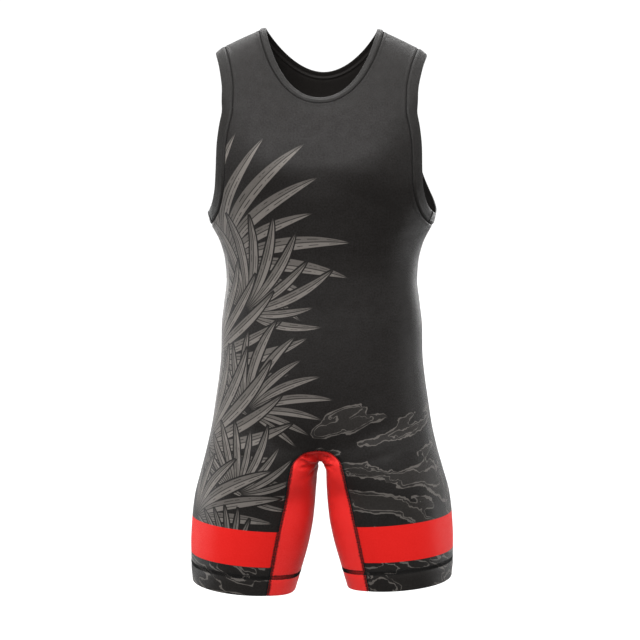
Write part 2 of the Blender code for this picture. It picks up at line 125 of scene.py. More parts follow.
# Rings of the form, as in the part's source
SIDE_Y = 0.002
RING_COLUMNS = (
    "side_x", "side_z",
    "front_x", "front_y", "front_z", "front_dip", "front_reach", "front_turn",
    "back_x", "back_y", "back_z", "back_dip", "back_reach", "back_turn",
)
RINGS = {
    "neck seam":     (.0970, -.0035, 0, -.078, -.120, 0, .075, .040, 0, .080, -.070, 0, .056, .045),
    "strap middle":  (.1245, -.0160, 0, -.094, -.143, 0, .090, .050, 0, .093, -.098, 0, .088, .055),
    "shoulder tip":  (.1505, -.0290, 0, -.105, -.166, 0, .103, .058, 0, .102, -.128, 0, .103, .062),
    "upper armhole": (.1840, -.0490, 0, -.113, -.196, 0, .118, .066, 0, .109, -.168, 0, .118, .066),
    "mid armhole":   (.2050, -.1250, 0, -.117, -.226, 0, .126, .070, 0, .114, -.212, 0, .126, .070),
    "chest":         (.2110, -.2150, 0, -.116, -.262, 0, .122, .072, 0, .115, -.258, 0, .122, .070),
    "underarm":      (.1732, -.3054, 0, -.110, -.3054, 0, .106, .068, 0, .110, -.3054, 0, .105, .066),
    "ribs":          (.1592, -.3337, 0, -.106, -.3337, 0, .099, .064, 0, .104, -.3337, 0, .098, .062),
    "low ribs":      (.1521, -.3620, 0, -.102, -.3620, 0, .093, .061, 0, .096, -.3620, 0, .092, .058),
    "waist":         (.1501, -.3903, 0, -.100, -.3903, 0, .091, .060, 0, .091, -.3903, 0, .090, .056),
    "belly":         (.1543, -.4281, 0, -.100, -.4281, 0, .095, .060, 0, .091, -.4281, 0, .094, .056),
    "low belly":     (.1583, -.4659, 0, -.102, -.4659, 0, .098, .061, 0, .098, -.4659, 0, .098, .060),
    "upper hip":     (.1588, -.5037, 0, -.104, -.5037, 0, .099, .062, 0, .109, -.5037, 0, .100, .067),
    "hip":           (.1622, -.5415, 0, -.105, -.5415, 0, .101, .063, 0, .120, -.5415, 0, .103, .075),
    "seat":          (.1676, -.5792, 0, -.104, -.5792, 0, .104, .066, 0, .127, -.5792, 0, .106, .082),
    "low seat":      (.1733, -.6170, 0, -.101, -.6170, 0, .108, .074, 0, .127, -.6170, 0, .110, .086),
    "fork":          (.1816, -.6548, 0, -.088, -.6548, 13, .115, .086, 0, .114, -.6548, 4, .118, .084),
    "thigh top":     (.1920, -.6926, .022, -.083, -.6926, 26, .097, .086, .022, .090, -.6926, 24, .098, .080),
    "upper thigh":   (.2019, -.7303, .040, -.073, -.7303, 42, .086, .087, .040, .070, -.7303, 40, .084, .080),
    "mid thigh":     (.2064, -.7681, .044, -.071, -.7681, 42, .084, .084, .044, .065, -.7681, 41, .082, .078),
    "thigh":         (.2082, -.8059, .051, -.068, -.8059, 42, .081, .081, .051, .063, -.8059, 42, .079, .075),
    "low thigh":     (.2071, -.8437, .060, -.065, -.8437, 42, .077, .077, .060, .061, -.8437, 42, .076, .073),
    "hem":           (.2046, -.8850, .070, -.063, -.8850, 42, .072, .074, .070, .059, -.8850, 42, .071, .070),
}

# Armhole seams, where the bands are sewn on, as seen from the front: half width and height
ARMHOLE_COLUMNS = ("front_x", "front_z", "back_x", "back_z")
ARMHOLE = {
    "shoulder tip": (.1505, -.0290, .1505, -.0290),
    "over the tip": (.1484, -.0348, .1480, -.0348),
    "collarbone":   (.1405, -.0570, .1390, -.0570),
    "upper":        (.1327, -.0996, .1285, -.1000),
    "narrowest":    (.1326, -.1290, .1260, -.1350),
    "upper chest":  (.1382, -.1595, .1290, -.1700),
    "chest":        (.1422, -.1888, .1370, -.2050),
    "low chest":    (.1432, -.2200, .1462, -.2345),
    "turn":         (.1448, -.2500, .1565, -.2595),
    "under":        (.1512, -.2770, .1662, -.2800),
    "side":         (.1618, -.2955, .1716, -.2948),
    "underarm":     (.1732, -.3054, .1732, -.3054),
}

# Gusset stations from the crotch crest to the hem: its front seam, its innermost line and its back seam, with
# the height at which the same row of the panels meets the side seam
GUSSET_COLUMNS = ("station", "front_x", "front_z", "mid_x", "mid_y", "mid_z", "back_x", "back_z", "side_z")
GUSSET = {
    "crest":       (.00, .0000, -.6515, .0000, -.006, -.6770, .0000, -.6400, -.6400),
    "arch round":  (.04, .0145, -.6531, .0028, -.006, -.6780, .0138, -.6432, -.6476),
    "arch top":    (.08, .0262, -.6590, .0052, -.006, -.6802, .0270, -.6480, -.6550),
    "arch side":   (.16, .0378, -.6735, .0082, -.006, -.6880, .0395, -.6640, -.6720),
    "arch foot":   (.25, .0425, -.6920, .0094, -.006, -.7000, .0455, -.6870, -.6910),
    "upper thigh": (.38, .0478, -.7220, .0098, -.005, -.7265, .0510, -.7210, -.7210),
    "mid thigh":   (.56, .0560, -.7600, .0128, -.004, -.7640, .0590, -.7610, -.7590),
    "thigh":       (.73, .0640, -.7980, .0197, -.003, -.8020, .0665, -.8000, -.7960),
    "low thigh":   (.86, .0706, -.8315, .0289, -.002, -.8355, .0730, -.8335, -.8280),
    "hem fold":    (.93, .0745, -.8495, .0346, -.001, -.8530, .0765, -.8495, -.8380),
    "hem":         (1.00, .0790, -.8755, .0415, .000, -.8785, .0805, -.8755, -.8615),
}

# How far the gusset's curve leans on its seam and on its innermost line, at the crest and down the thigh
CREST_HANDLES = (0.33, 0.36)
THIGH_HANDLES = (0.43, 0.47)
HANDLES_FROM, HANDLES_TO = 0.12, 0.40

# Relief beside the seams, as distance from the seam, half width and height of each soft ridge or groove
RELIEF_COLUMNS = ("away", "half_width", "height")
BAND_SEAM_RELIEF = {
    "groove": (.0000, .0010, -.00060),
    "ridge":  (.0036, .0018, .00060),
}
FLAT_SEAM_RELIEF = {
    "bed":    (.0000, .0034, -.00045),
    "ridge":  (.0060, .0024, .00030),
}
HEM_RELIEF = {
    "pinch":  (.0000, .0030, -.00080),
    "fold":   (-.0100, .0085, .00070),
    "above":  (.0070, .0050, .00020),
}
BAND_PUFF = 0.0006
BAND_JOIN_AHEAD = 0.0400
EDGE_STITCH_AWAY = 0.0014

# Creases: soft troughs on the unturned form, from one end to the other, with half width and depth
CREASE_END_DEPTH, CREASE_RIDGE = 0.35, 0.9
CREASE_COLUMNS = ("from_x", "from_z", "to_x", "to_z", "half_width", "depth")
CREASES = {
    "front": (
        (.118, -.286, .060, -.262, .012, .0009),
        (-.120, -.282, -.070, -.256, .013, .0010),
        (.140, -.330, .085, -.318, .011, .0006),
        (-.138, -.338, -.080, -.322, .012, .0007),
        (.120, -.600, .046, -.648, .011, .0008),
        (-.118, -.606, -.044, -.650, .012, .0009),
        (.150, -.640, .060, -.676, .010, .0006),
        (-.150, -.648, -.062, -.680, .010, .0007),
    ),
    "back": (
        (.110, -.372, .030, -.380, .012, .0012),
        (-.120, -.386, -.036, -.392, .013, .0012),
        (.086, -.402, .010, -.408, .010, .0009),
        (-.070, -.418, .004, -.422, .011, .0009),
        (.150, -.664, .050, -.690, .012, .0014),
        (-.150, -.670, -.054, -.696, .013, .0014),
        (.130, -.690, .070, -.706, .010, .0008),
        (-.128, -.694, -.074, -.712, .010, .0009),
        (.120, -.300, .070, -.270, .012, .0010),
        (-.118, -.304, -.072, -.272, .012, .0010),
    ),
}

# Small folds each side of the crotch point; a fold of negative depth stands up
CROTCH_CREASES = {
    "front": (
        (-.0200, -.6575, -.0020, -.6700, .0034, .0052),
        (-.0215, -.6625, -.0030, -.6745, .0026, -.0036),
        (-.0240, -.6770, -.0090, -.6790, .0030, .0026),
        (.0060, -.6700, .0170, -.6655, .0030, .0034),
        (.0070, -.6745, .0180, -.6710, .0024, -.0022),
        (.0100, -.6790, .0240, -.6780, .0028, .0024),
    ),
    "back": (
        (-.0210, -.6560, -.0040, -.6690, .0034, .0026),
        (-.0220, -.6620, -.0050, -.6740, .0026, -.0020),
        (.0050, -.6700, .0200, -.6630, .0032, .0026),
        (.0060, -.6750, .0220, -.6710, .0026, -.0018),
    ),
}

# Puckers that fan out from the crotch point, in the red cloth: soft ridges with sharp valleys between
PUCKER_X, PUCKER_Z = 0.0, -0.6790
PUCKER_REACH, PUCKER_FADE = 0.019, 1.2
PUCKER_DEPTH = 0.0017
PUCKER_COUNT = 8.0
PUCKER_UNEVEN, PUCKER_PHASE = 0.3, 0.6
PUCKER_BEND, PUCKER_TWIST = 0.18, 0.8
PUCKER_RIDGE, PUCKER_SHARPNESS, PUCKER_VALLEY = 1.8, 0.7, 1.3

# Soft hollow above that point, where the cloth turns under
HOLLOW_X, HOLLOW_Z = -0.002, -0.6650
HOLLOW_DEPTH = 0.0095
HOLLOW_HALF_WIDTH, HOLLOW_HALF_HEIGHT = 0.027, 0.010


def ease(low, high, value):
    """0 at low, 1 at high and smooth between."""
    share = np.clip((value - low) / (high - low), 0.0, 1.0)
    return share * share * (3.0 - 2.0 * share)


def lerp(start, end, share):
    return start + (end - start) * share


def unit(vectors):
    return vectors / np.linalg.norm(vectors, axis=-1, keepdims=True)


def stack(*columns):
    return np.stack(np.broadcast_arrays(*columns), -1)


def by_name(columns, rows):
    """The rows of a table, each with its values by name."""
    return [dict(zip(columns, row)) for row in rows]


class Curve:
    """Smooth curve through the rows of a table that never swings past them."""

    def __init__(self, columns, table, knots):
        self.columns = columns
        self.knots, self.rows = np.array(knots, float), np.array(list(table.values()), float)
        steps = np.diff(self.knots)[:, None]
        rises = np.diff(self.rows, axis=0) / steps
        before, after = rises[:-1], rises[1:]
        level = before * after <= 0.0
        total = np.where(level, 1.0, before + after)
        inner = np.where(level, 0.0, 2.0 * before * after / total)
        self.slopes = np.vstack([rises[:1], inner, rises[-1:]])

    def at(self, knots):
        """The values at these knots, by name."""
        knots = np.asarray(knots, float)
        inside = np.clip(knots, self.knots[0], self.knots[-1])
        i = np.clip(np.searchsorted(self.knots, inside) - 1, 0, len(self.knots) - 2)
        step = (self.knots[i + 1] - self.knots[i])[..., None]
        s = (inside - self.knots[i])[..., None] / step
        beyond = (knots - inside)[..., None]
        rows = (
            (1 + 2 * s) * (1 - s) ** 2 * self.rows[i]
            + s * (1 - s) ** 2 * step * self.slopes[i]
            + s * s * (3 - 2 * s) * self.rows[i + 1]
            + s * s * (s - 1) * step * self.slopes[i + 1]
            + beyond * np.where(beyond < 0.0, self.slopes[0], self.slopes[-1])
        )
        return dict(zip(self.columns, np.moveaxis(rows, -1, 0)))


RING_ROWS = by_name(RING_COLUMNS, RINGS.values())
RING_DROPS = np.array([-0.5 * (ring["front_z"] + ring["side_z"]) for ring in RING_ROWS])
TIP_DROP, UNDERARM_DROP = (RING_DROPS[list(RINGS).index(ring)] for ring in ("shoulder tip", "underarm"))
RING_CURVE = Curve(RING_COLUMNS, RINGS, RING_DROPS)
ARMHOLE_CURVE = Curve(ARMHOLE_COLUMNS, ARMHOLE, np.linspace(0.0, 1.0, len(ARMHOLE)))
GUSSET_CURVE = Curve(GUSSET_COLUMNS, GUSSET, [row[0] for row in GUSSET.values()])


def bezier(p0, p1, p2, p3, t):
    s = 1.0 - t
    return s * s * s * p0 + 3 * s * s * t * p1 + 3 * s * t * t * p2 + t * t * t * p3


def form_points(side, drops, ts):
    """Points of the front or back form on the rings at these drops, from the centre (t=0) to the side (t=1)."""
    drops, ts = np.broadcast_arrays(np.asarray(drops, float), np.asarray(ts, float))
    ring = RING_CURVE.at(drops)
    forward = -1.0 if side == "front" else 1.0
    centre = stack(*(ring[side + axis] for axis in ("_x", "_y", "_z")))
    edge = stack(ring["side_x"], SIDE_Y, ring["side_z"])
    dip = np.radians(ring[side + "_dip"])
    leave = stack(np.cos(dip), forward * np.sin(dip), 0.0) * ring[side + "_reach"][..., None]
    arrive = stack(0.0, forward * ring[side + "_turn"], 0.0)
    points = bezier(centre, centre + leave, edge + arrive, edge, ts[..., None])
    if side == "front":
        across = (np.abs(points[..., 0]) - CHEST_X) / CHEST_HALF_WIDTH
        up = points[..., 2] - CHEST_Z
        up = up / np.where(up > 0.0, CHEST_ABOVE, CHEST_BELOW)
        swell = CHEST_SWELL * np.exp(-2.0 * (across * across + up * up))
        points[..., 1] -= swell * (1.0 - ts * ts)
    return points


def solve(low, high, error):
    """Where error, which rises from below nought at low to above it at high, is nought."""
    for _ in range(SEARCH_ROUNDS):
        middle = 0.5 * (low + high)
        below = error(middle) < 0.0
        low, high = np.where(below, middle, low), np.where(below, high, middle)
    return 0.5 * (low + high)


def t_at_width(side, drops, x):
    drops = np.asarray(drops, float)
    return solve(np.zeros_like(drops), np.ones_like(drops), lambda t: form_points(side, drops, t)[..., 0] - x)


def locate(side, x, z):
    """Drops and ts of the armhole points that are seen at x, z from the front."""
    low, high = np.full_like(x, TIP_DROP), np.full_like(x, UNDERARM_DROP + SEARCH_MARGIN)
    drops = solve(low, high, lambda d: z - form_points(side, d, t_at_width(side, d, x))[..., 2])
    return drops, t_at_width(side, drops, x)


def panel_rows(side):
    """Rows of a half panel: the drop at both ends, t at both ends, and how late the row changes its drop."""
    share = STRAP_SHARES
    strap = lerp(RING_DROPS[0], TIP_ROW_CENTRE, share), lerp(RING_DROPS[0], TIP_DROP, share), 0.0, 1.0, 1.0

    share = np.arange(ARMHOLE_ROWS) / ARMHOLE_ROWS
    seam = ARMHOLE_CURVE.at(share)
    outer, t = locate(side, seam[side + "_x"], seam[side + "_z"])
    outer[0], t[0] = TIP_DROP, 1.0
    armhole = lerp(TIP_ROW_CENTRE, UNDERARM_ROW_CENTRE, share ** ROW_CROWDING), outer, 0.0, t, 1.0

    share = np.arange(TRUNK_ROWS) / TRUNK_ROWS
    crest = GUSSET_CURVE.at(0.0)
    inner = lerp(UNDERARM_ROW_CENTRE, -crest[side + "_z"], share)
    trunk = inner, lerp(UNDERARM_DROP, -crest["side_z"], share), 0.0, 1.0, 1.0 - 2.0 * share

    place = GUSSET_CURVE.at(LEG_STATIONS)
    inner = -place[side + "_z"]
    t = t_at_width(side, inner, place[side + "_x"])
    t[0] = 0.0
    leg = inner, -place["side_z"], t, 1.0, LEG_STATIONS - 1.0
    return np.vstack([stack(*columns) for columns in (strap, armhole, trunk, leg)])


def change_by(share, late):
    """Share of its change of drop that a row has made: it changes late (1), evenly (0) or early (-1)."""
    power = 1.0 + np.abs(late)
    return np.where(late > 0.0, share ** power, 1.0 - (1.0 - share) ** power)


def panel_grid(side):
    """Points of the half panel at +X, by row and column."""
    inner, outer, t_inner, t_outer, late = panel_rows(side).T[:, :, None]
    shares = COLUMN_SHARES[None]
    return form_points(side, lerp(inner, outer, change_by(shares, late)), lerp(t_inner, t_outer, shares))


def lengths_along(grid, axis):
    """Length from the grid's first point to each, along its rows or columns."""
    steps = np.linalg.norm(np.diff(grid, axis=axis), axis=-1)
    return np.insert(np.cumsum(steps, axis=axis), 0, 0.0, axis=axis)


def flat_cut(grid):
    """Place of each grid point in the flat cut: distance from the centre line and height above the last row."""
    across, down = lengths_along(grid, 1) + np.abs(grid[:, :1, 0]), lengths_along(grid, 0)
    return np.stack([across, down[-1] - down], -1)


def panel_cut(grid):
    """Flat cut of a half panel: heights follow the leg from the hem, and run level across the trunk."""
    flat = flat_cut(grid)
    along = flat[..., 1]
    level = grid[..., 2] + LEVEL_BASE
    top = int(np.argmax(grid[:, 0, 2] < STRAP_FOOT_Z))
    level[:top] = level[top] + along[:top] - along[top]
    flat[..., 1] = lerp(along, level, ease(LEVEL_FROM, LEVEL_TO, along))
    return flat


class Sheet:
    """Welded sheet of quads. A face keeps its corners and each corner's place in the flat cut of its piece."""

    def __init__(self):
        self.points, self.index = [], {}
        self.faces, self.flats = {}, {}

    @staticmethod
    def key(point):
        return tuple(int(round(float(value) / WELD_DISTANCE)) for value in point)

    def vertex(self, point):
        key = self.key(point)
        if key not in self.index:
            self.index[key] = len(self.points)
            self.points.append(np.array(point, float))
        return self.index[key]

    def move_to(self, points):
        self.points = list(points)
        self.index = {self.key(point): v for v, point in enumerate(self.points)}

    def add_grid(self, piece, grid, flat, flip):
        ids = [[self.vertex(point) for point in row] for row in grid]
        faces, flats = self.faces.setdefault(piece, []), self.flats.setdefault(piece, [])
        for r in range(len(ids) - 1):
            for c in range(len(ids[0]) - 1):
                corners = [(r, c), (r + 1, c), (r + 1, c + 1), (r, c + 1)][::-1 if flip else 1]
                faces.append([ids[i][j] for i, j in corners])
                flats.append([tuple(flat[i][j]) for i, j in corners])
        return np.array(ids)

    def add_both(self, piece, grid, flat, flip):
        """Adds the grid of the +X half and its mirror image, and returns the vertices of both."""
        ids = self.add_grid(piece, grid, flat, flip)
        return ids, self.add_grid(piece, grid * (-1.0, 1.0, 1.0), flat * (-1.0, 1.0), not flip)

    def normals(self):
        points = np.array(self.points)
        total = np.zeros_like(points)
        for faces in self.faces.values():
            corners = np.array(faces)
            at = points[corners]
            normal = np.cross(at[:, 2] - at[:, 0], at[:, 3] - at[:, 1])
            for k in range(4):
                np.add.at(total, corners[:, k], normal)
        return unit(total)

    def edges(self, pieces=None):
        """Directed edges of the named pieces, or of all, that no face of them has the other way."""
        directed = set()
        for piece in pieces or self.faces:
            for face in self.faces[piece]:
                directed.update(zip(face, face[1:] + face[:1]))
        return {(a, b) for a, b in directed if (b, a) not in directed}

    def used_by(self, piece):
        return sorted({v for face in self.faces[piece] for v in face})

    def heights(self, piece):
        """Height above the hem of each vertex of a piece."""
        found = {}
        for face, flat in zip(self.faces[piece], self.flats[piece]):
            found.update((v, place[1]) for v, place in zip(face, flat))
        return np.array([found[v] for v in self.used_by(piece)])


def inward(points, normals, edges):
    """For each vertex on these directed boundary edges, how to move so that its edges move in by 1."""
    sides = {}
    for a, b in edges:
        along = points[b] - points[a]
        for v in (a, b):
            sides.setdefault(v, []).append(unit(np.cross(normals[v], along)))
    moves = {}
    for v, found in sides.items():
        total = sum(found)
        moves[v] = total / max(1.0, float(total @ found[0]))
    return moves


def gusset_grid(sheet, front_ids, back_ids):
    """Bends the gusset's +X half from the front seam, over the innermost line, to the back seam."""
    seams = [ids[-len(LEG_STATIONS):, 0].tolist() for ids in (front_ids, back_ids)]
    seam_ids = set(sum(seams, []))
    seam_edges = {edge for edge in sheet.edges() if seam_ids.issuperset(edge)}
    moves = inward(sheet.points, sheet.normals(), seam_edges)
    shares = np.linspace(0.0, 1.0, GUSSET_HALF_COLUMNS + 1)[:, None]
    grid = []
    for i, station in enumerate(LEG_STATIONS):
        place = GUSSET_CURVE.at(station)
        middle = np.array([place["mid_x"], place["mid_y"], place["mid_z"]])
        fuller = ease(HANDLES_FROM, HANDLES_TO, station)
        at_seam, at_middle = (lerp(crest, thigh, fuller) for crest, thigh in zip(CREST_HANDLES, THIGH_HANDLES))
        row = []
        for ids, forward in zip(seams, (-1.0, 1.0)):
            seam = sheet.points[ids[i]]
            out = unit(-moves[ids[i]])
            if station == 0.0:
                out = unit(out * (0.0, 1.0, 1.0))
            chord = np.linalg.norm(seam - middle)
            handle = middle + np.array([0.0, forward * at_middle * chord, 0.0])
            arc = bezier(seam, seam + out * at_seam * chord, handle, middle, shares)
            row += list(arc if forward < 0.0 else arc[-2::-1])
        grid.append(row)
    return np.array(grid)


def gusset_cut(grid):
    """Place in the flat cut: distance from the innermost line and height above the hem."""
    flat = flat_cut(grid)
    flat[..., 0] -= flat[:, GUSSET_HALF_COLUMNS, None, 0]
    return flat


def in_stance(points):
    """Turns the hips a little against the shoulders, with one leg and the other shoulder a little lower."""
    x, y, z = np.asarray(points).T
    turn = HIP_TURN * np.clip((z - TURN_FROM_Z) / (TURN_TO_Z - TURN_FROM_Z), 0.0, 1.0)
    drop = LEG_SHIFT * ease(-LEG_SHIFT_FROM_Z, -LEG_SHIFT_TO_Z, -z)
    side = 2.0 * ease(-LEG_SHIFT_BLEND_X, LEG_SHIFT_BLEND_X, x) - 1.0
    tilt = SHOULDER_TILT * (1.0 - ease(-TILT_FROM_Z, -TILT_TO_Z, -z))
    rise = drop * side + tilt * x
    return stack(x * np.cos(turn) - y * np.sin(turn), x * np.sin(turn) + y * np.cos(turn), z + rise)


def loops(edges):
    """Chains directed boundary edges into closed loops of vertices."""
    follow = dict(sorted(edges))
    found = []
    while follow:
        start = next(iter(follow))
        vertex = follow.pop(start)
        loop = [start]
        while vertex != start:
            loop.append(vertex)
            vertex = follow.pop(vertex)
        found.append(loop)
    return found


def add_bands(sheet):
    """Sews a band on round the neck and each armhole, and returns the grid of each, a row for a seam vertex."""
    normals, open_edges = sheet.normals(), sheet.edges()
    moves = inward(sheet.points, normals, open_edges)
    shares = np.linspace(0.0, 1.0, BAND_COLUMNS + 1)
    grids = {}
    for loop in loops(open_edges):
        centre = np.mean([sheet.points[v] for v in loop], axis=0)
        if centre[2] < -UNDERARM_DROP:
            continue
        if abs(centre[0]) < 0.5 * RING_ROWS[0]["side_x"]:
            piece, width, roll = "neck_band", NECK_BAND_WIDTH, NECK_BAND_ROLL
        else:
            piece, width, roll = ARMHOLE_BANDS[int(centre[0] < 0.0)], ARMHOLE_BAND_WIDTH, ARMHOLE_BAND_ROLL
        grid, flat, along = [], [], 0.0
        previous = sheet.points[loop[0]]
        for v in loop + loop[:1]:
            point, out = sheet.points[v], unit(-moves[v])
            along += np.linalg.norm(point - previous)
            previous = point
            grid.append([point + out * width * s - normals[v] * roll * s * s for s in shares])
            flat.append([(along, width * s) for s in shares])
        grids[piece] = sheet.add_grid(piece, grid, flat, True)
    return grids


def distances(points, path):
    """Distance of each point from the nearest point of the path."""
    tree = KDTree(len(path))
    for i, place in enumerate(path):
        tree.insert(place, i)
    tree.balance()
    return np.array([tree.find(point)[2] for point in points])


def along_path(points):
    """Points at an even pitch along a polyline."""
    lengths = lengths_along(points, 0)
    places = np.linspace(0.0, lengths[-1], max(2, int(lengths[-1] / PATH_PITCH)))
    return np.stack([np.interp(places, lengths, points[:, k]) for k in range(3)], 1)


def relief(table, away):
    """Height of the soft ridges and grooves of a table at these distances from their seam."""
    total = np.zeros_like(away)
    for step in by_name(RELIEF_COLUMNS, table.values()):
        total += step["height"] * np.exp(-(((away - step["away"]) / step["half_width"]) ** 2))
    return total


def crease_heights(form, creases):
    """Height of the cloth over its form from the creases: a trough with a low ridge at each side."""
    total = np.zeros(len(form))
    flat = form[:, [0, 2]]
    for side, rows in creases.items():
        here = form[:, 1] < SIDE_Y if side == "front" else form[:, 1] > SIDE_Y
        for crease in by_name(CREASE_COLUMNS, rows):
            start = np.array([crease["from_x"], crease["from_z"]])
            run = np.array([crease["to_x"], crease["to_z"]]) - start
            share = np.clip((flat - start) @ run / (run @ run), 0.0, 1.0)
            away = np.linalg.norm(flat - start - share[:, None] * run, axis=1) / crease["half_width"]
            depth = crease["depth"] * lerp(CREASE_END_DEPTH, 1.0, np.sin(np.pi * share))
            total -= here * depth * (1.0 - CREASE_RIDGE * away ** 2) * np.exp(-away ** 2)
    return total


def pucker_heights(form):
    """Height of the puckers at the crotch point, less the hollow above it."""
    x, z = form[:, 0] - PUCKER_X, form[:, 2] - PUCKER_Z
    away = np.hypot(x, z) / PUCKER_REACH
    angle = np.arctan2(z, x)
    strength = away * np.exp(1.0 - away ** 2 * PUCKER_FADE)
    uneven = 1.0 - PUCKER_UNEVEN + PUCKER_UNEVEN * np.sin(2.0 * angle + PUCKER_PHASE)
    bent = 0.5 * PUCKER_COUNT * (angle + PUCKER_BEND * np.sin(3.0 * angle)) + PUCKER_TWIST * away
    fold = PUCKER_RIDGE * np.abs(np.sin(bent)) ** PUCKER_SHARPNESS - PUCKER_VALLEY
    across, up = (form[:, 0] - HOLLOW_X) / HOLLOW_HALF_WIDTH, (form[:, 2] - HOLLOW_Z) / HOLLOW_HALF_HEIGHT
    return PUCKER_DEPTH * strength * uneven * fold - HOLLOW_DEPTH * np.exp(-across ** 2 - up ** 2)


def wall_faces(piece, heights):
    """How far the outer and inner faces of a wall stand from the sheet."""
    if "band" in piece:
        puff = BAND_PUFF * np.sin(np.pi * heights / heights.max())
        return BAND_PROUD + puff, BAND_WALL - BAND_PROUD - puff
    doubled = ease(HEM_STITCH_HEIGHT, HEM_STITCH_HEIGHT - HEM_THICKENS_OVER, heights)
    return np.zeros_like(heights), lerp(PANEL_WALL, HEM_WALL, doubled)


def build_cloth(sheet, normals, piece):
    """Makes one piece of the sheet a closed wall, with half a seam gap at its seams and round free edges."""
    edges, open_edges = sheet.edges([piece]), sheet.edges()
    free_edges = edges & open_edges
    seam_moves = inward(sheet.points, normals, edges - free_edges)
    edge_moves = inward(sheet.points, normals, open_edges)
    used = sheet.used_by(piece)
    count = len(used)
    local = {v: i for i, v in enumerate(used)}
    shift = np.array([seam_moves.get(v, np.zeros(3)) for v in used]) * 0.5 * SEAM_GAP
    base, normal = np.array([sheet.points[v] for v in used]) + shift, normals[used]
    proud, deep = wall_faces(piece, sheet.heights(piece))
    places = [*(base + normal * proud[:, None]), *(base - normal * deep[:, None])]
    rim = {v: [] for v in used if v in edge_moves}
    for v, steps in rim.items():
        i = local[v]
        thick, middle = proud[i] + deep[i], 0.5 * (proud[i] - deep[i])
        for angle in math.pi * np.arange(1, RIM_STEPS) / RIM_STEPS:
            level, bulge = middle + 0.5 * thick * math.cos(angle), RIM_BULGE * thick * math.sin(angle)
            steps.append(len(places))
            places.append(base[i] + normal[i] * level - edge_moves[v] * bulge)
    walls, ends = [], {}
    for face, flat in zip(sheet.faces[piece], sheet.flats[piece]):
        ring = [local[v] for v in face]
        walls.append((ring, flat, OUTSIDE))
        walls.append(([i + count for i in reversed(ring)], flat[::-1], INSIDE))
        ends.update(zip(zip(face, face[1:] + face[:1]), zip(flat, flat[1:] + flat[:1])))
    for a, b in sorted(edges):
        at_a, at_b = ends[a, b]
        chain_a, chain_b = ([local[v], *rim.get(v, []), local[v] + count] for v in (a, b))
        if (a, b) in free_edges:
            for k in range(RIM_STEPS):
                ring = [chain_b[k], chain_a[k], chain_a[k + 1], chain_b[k + 1]]
                walls.append((ring, [at_b, at_a, at_a, at_b], OUTSIDE if k < RIM_STEPS - 1 else INSIDE))
        else:
            flat = [at_b] + [at_a] * len(chain_a) + [at_b] * (len(chain_b) - 1)
            walls.append((chain_b[:1] + chain_a + chain_b[:0:-1], flat, INSIDE))
    rings, flats, finish = zip(*walls)
    mesh = bpy.data.meshes.new(piece + "_cloth")
    mesh.from_pydata(np.array(places).tolist(), [], rings)
    layer = mesh.uv_layers.new(name=FLAT_MAP)
    layer.data.foreach_set("uv", np.array([uv for flat in flats for uv in flat], np.float32).ravel())
    mesh.polygons.foreach_set("material_index", finish)
    mesh.shade_smooth()
    mesh.set_sharp_from_angle(angle=SHARP_ANGLE)
    return add_object(mesh.name, mesh)


def add_object(name, data):
    """An object of this data in the scene, at the origin."""
    obj = bpy.data.objects.new(name, data)
    bpy.context.scene.collection.objects.link(obj)
    return obj


def level_path(ids, flat, points, normals, height):
    """Points and normals along the row of columns where they pass this height above the hem."""
    path, ups = [], []
    for heights, column in zip(flat[::-1, :, 1].T, ids[::-1].T):
        k = int(np.clip(np.searchsorted(heights, height), 1, len(heights) - 1))
        share = (height - heights[k - 1]) / (heights[k] - heights[k - 1])
        path.append(lerp(points[column[k - 1]], points[column[k]], share))
        ups.append(unit(lerp(normals[column[k - 1]], normals[column[k]], share)))
    return path, ups


# Stitches: sizes in metres, with the reach and arch of a needle thread as shares of the pitch and the thread
STITCH_COLUMNS = ("pitch", "width", "thread", "lean", "crown", "rows", "span")
STITCHES = {
    "flat seam": (.00230, .0100, .00050, .0003, .0005, 2, .0036),
    "hem":       (.00230, .0094, .00050, .0003, .0004, 2, .0052),
    "band":      (.00200, .0020, .00026, .0006, .0002, 1, .0000),
    "edge":      (.00260, .0018, .00026, .0004, .0002, 1, .0000),
    "side":      (.00190, .0040, .00030, .0005, .0002, 3, .0018),
    "join":      (.00150, .0044, .00036, .0003, .0003, 3, .0018),
}
THREAD_SIDES = 5
LOOPER_STEPS, NEEDLE_STEPS = 4, 3
NEEDLE_REACH, NEEDLE_ARCH = 0.47, 3.2
STITCH_UNEVEN, STITCH_WOBBLE = 0.08, 0.05
STITCH_SEED = 7


def geometry_tree(name, sizes):
    """A Geometry Nodes tree with a named input for each size."""
    tree = bpy.data.node_groups.new(name, "GeometryNodeTree")
    inputs = {"Geometry": "Geometry", **sizes, "Thread Material": "Material"}
    for size, kind in inputs.items():
        tree.interface.new_socket(size, in_out="INPUT", socket_type="NodeSocket" + kind)
    tree.interface.new_socket("Geometry", in_out="OUTPUT", socket_type="NodeSocketGeometry")
    return tree


def math_node(operation):
    return lambda first, *second: first.graph.math(operation, first, *second)


class Value:
    """An output of a node. Arithmetic on it, with other outputs or with numbers, becomes math nodes."""

    def __init__(self, graph, socket):
        self.graph, self.socket = graph, socket

    __add__, __sub__ = math_node("ADD"), math_node("SUBTRACT")
    __mul__, __truediv__ = math_node("MULTIPLY"), math_node("DIVIDE")
    __gt__, __lt__ = math_node("GREATER_THAN"), math_node("LESS_THAN")
    __abs__ = math_node("ABSOLUTE")

    def __rsub__(self, other):
        return self.graph.math("SUBTRACT", other, self)

    def __neg__(self):
        return self * -1.0


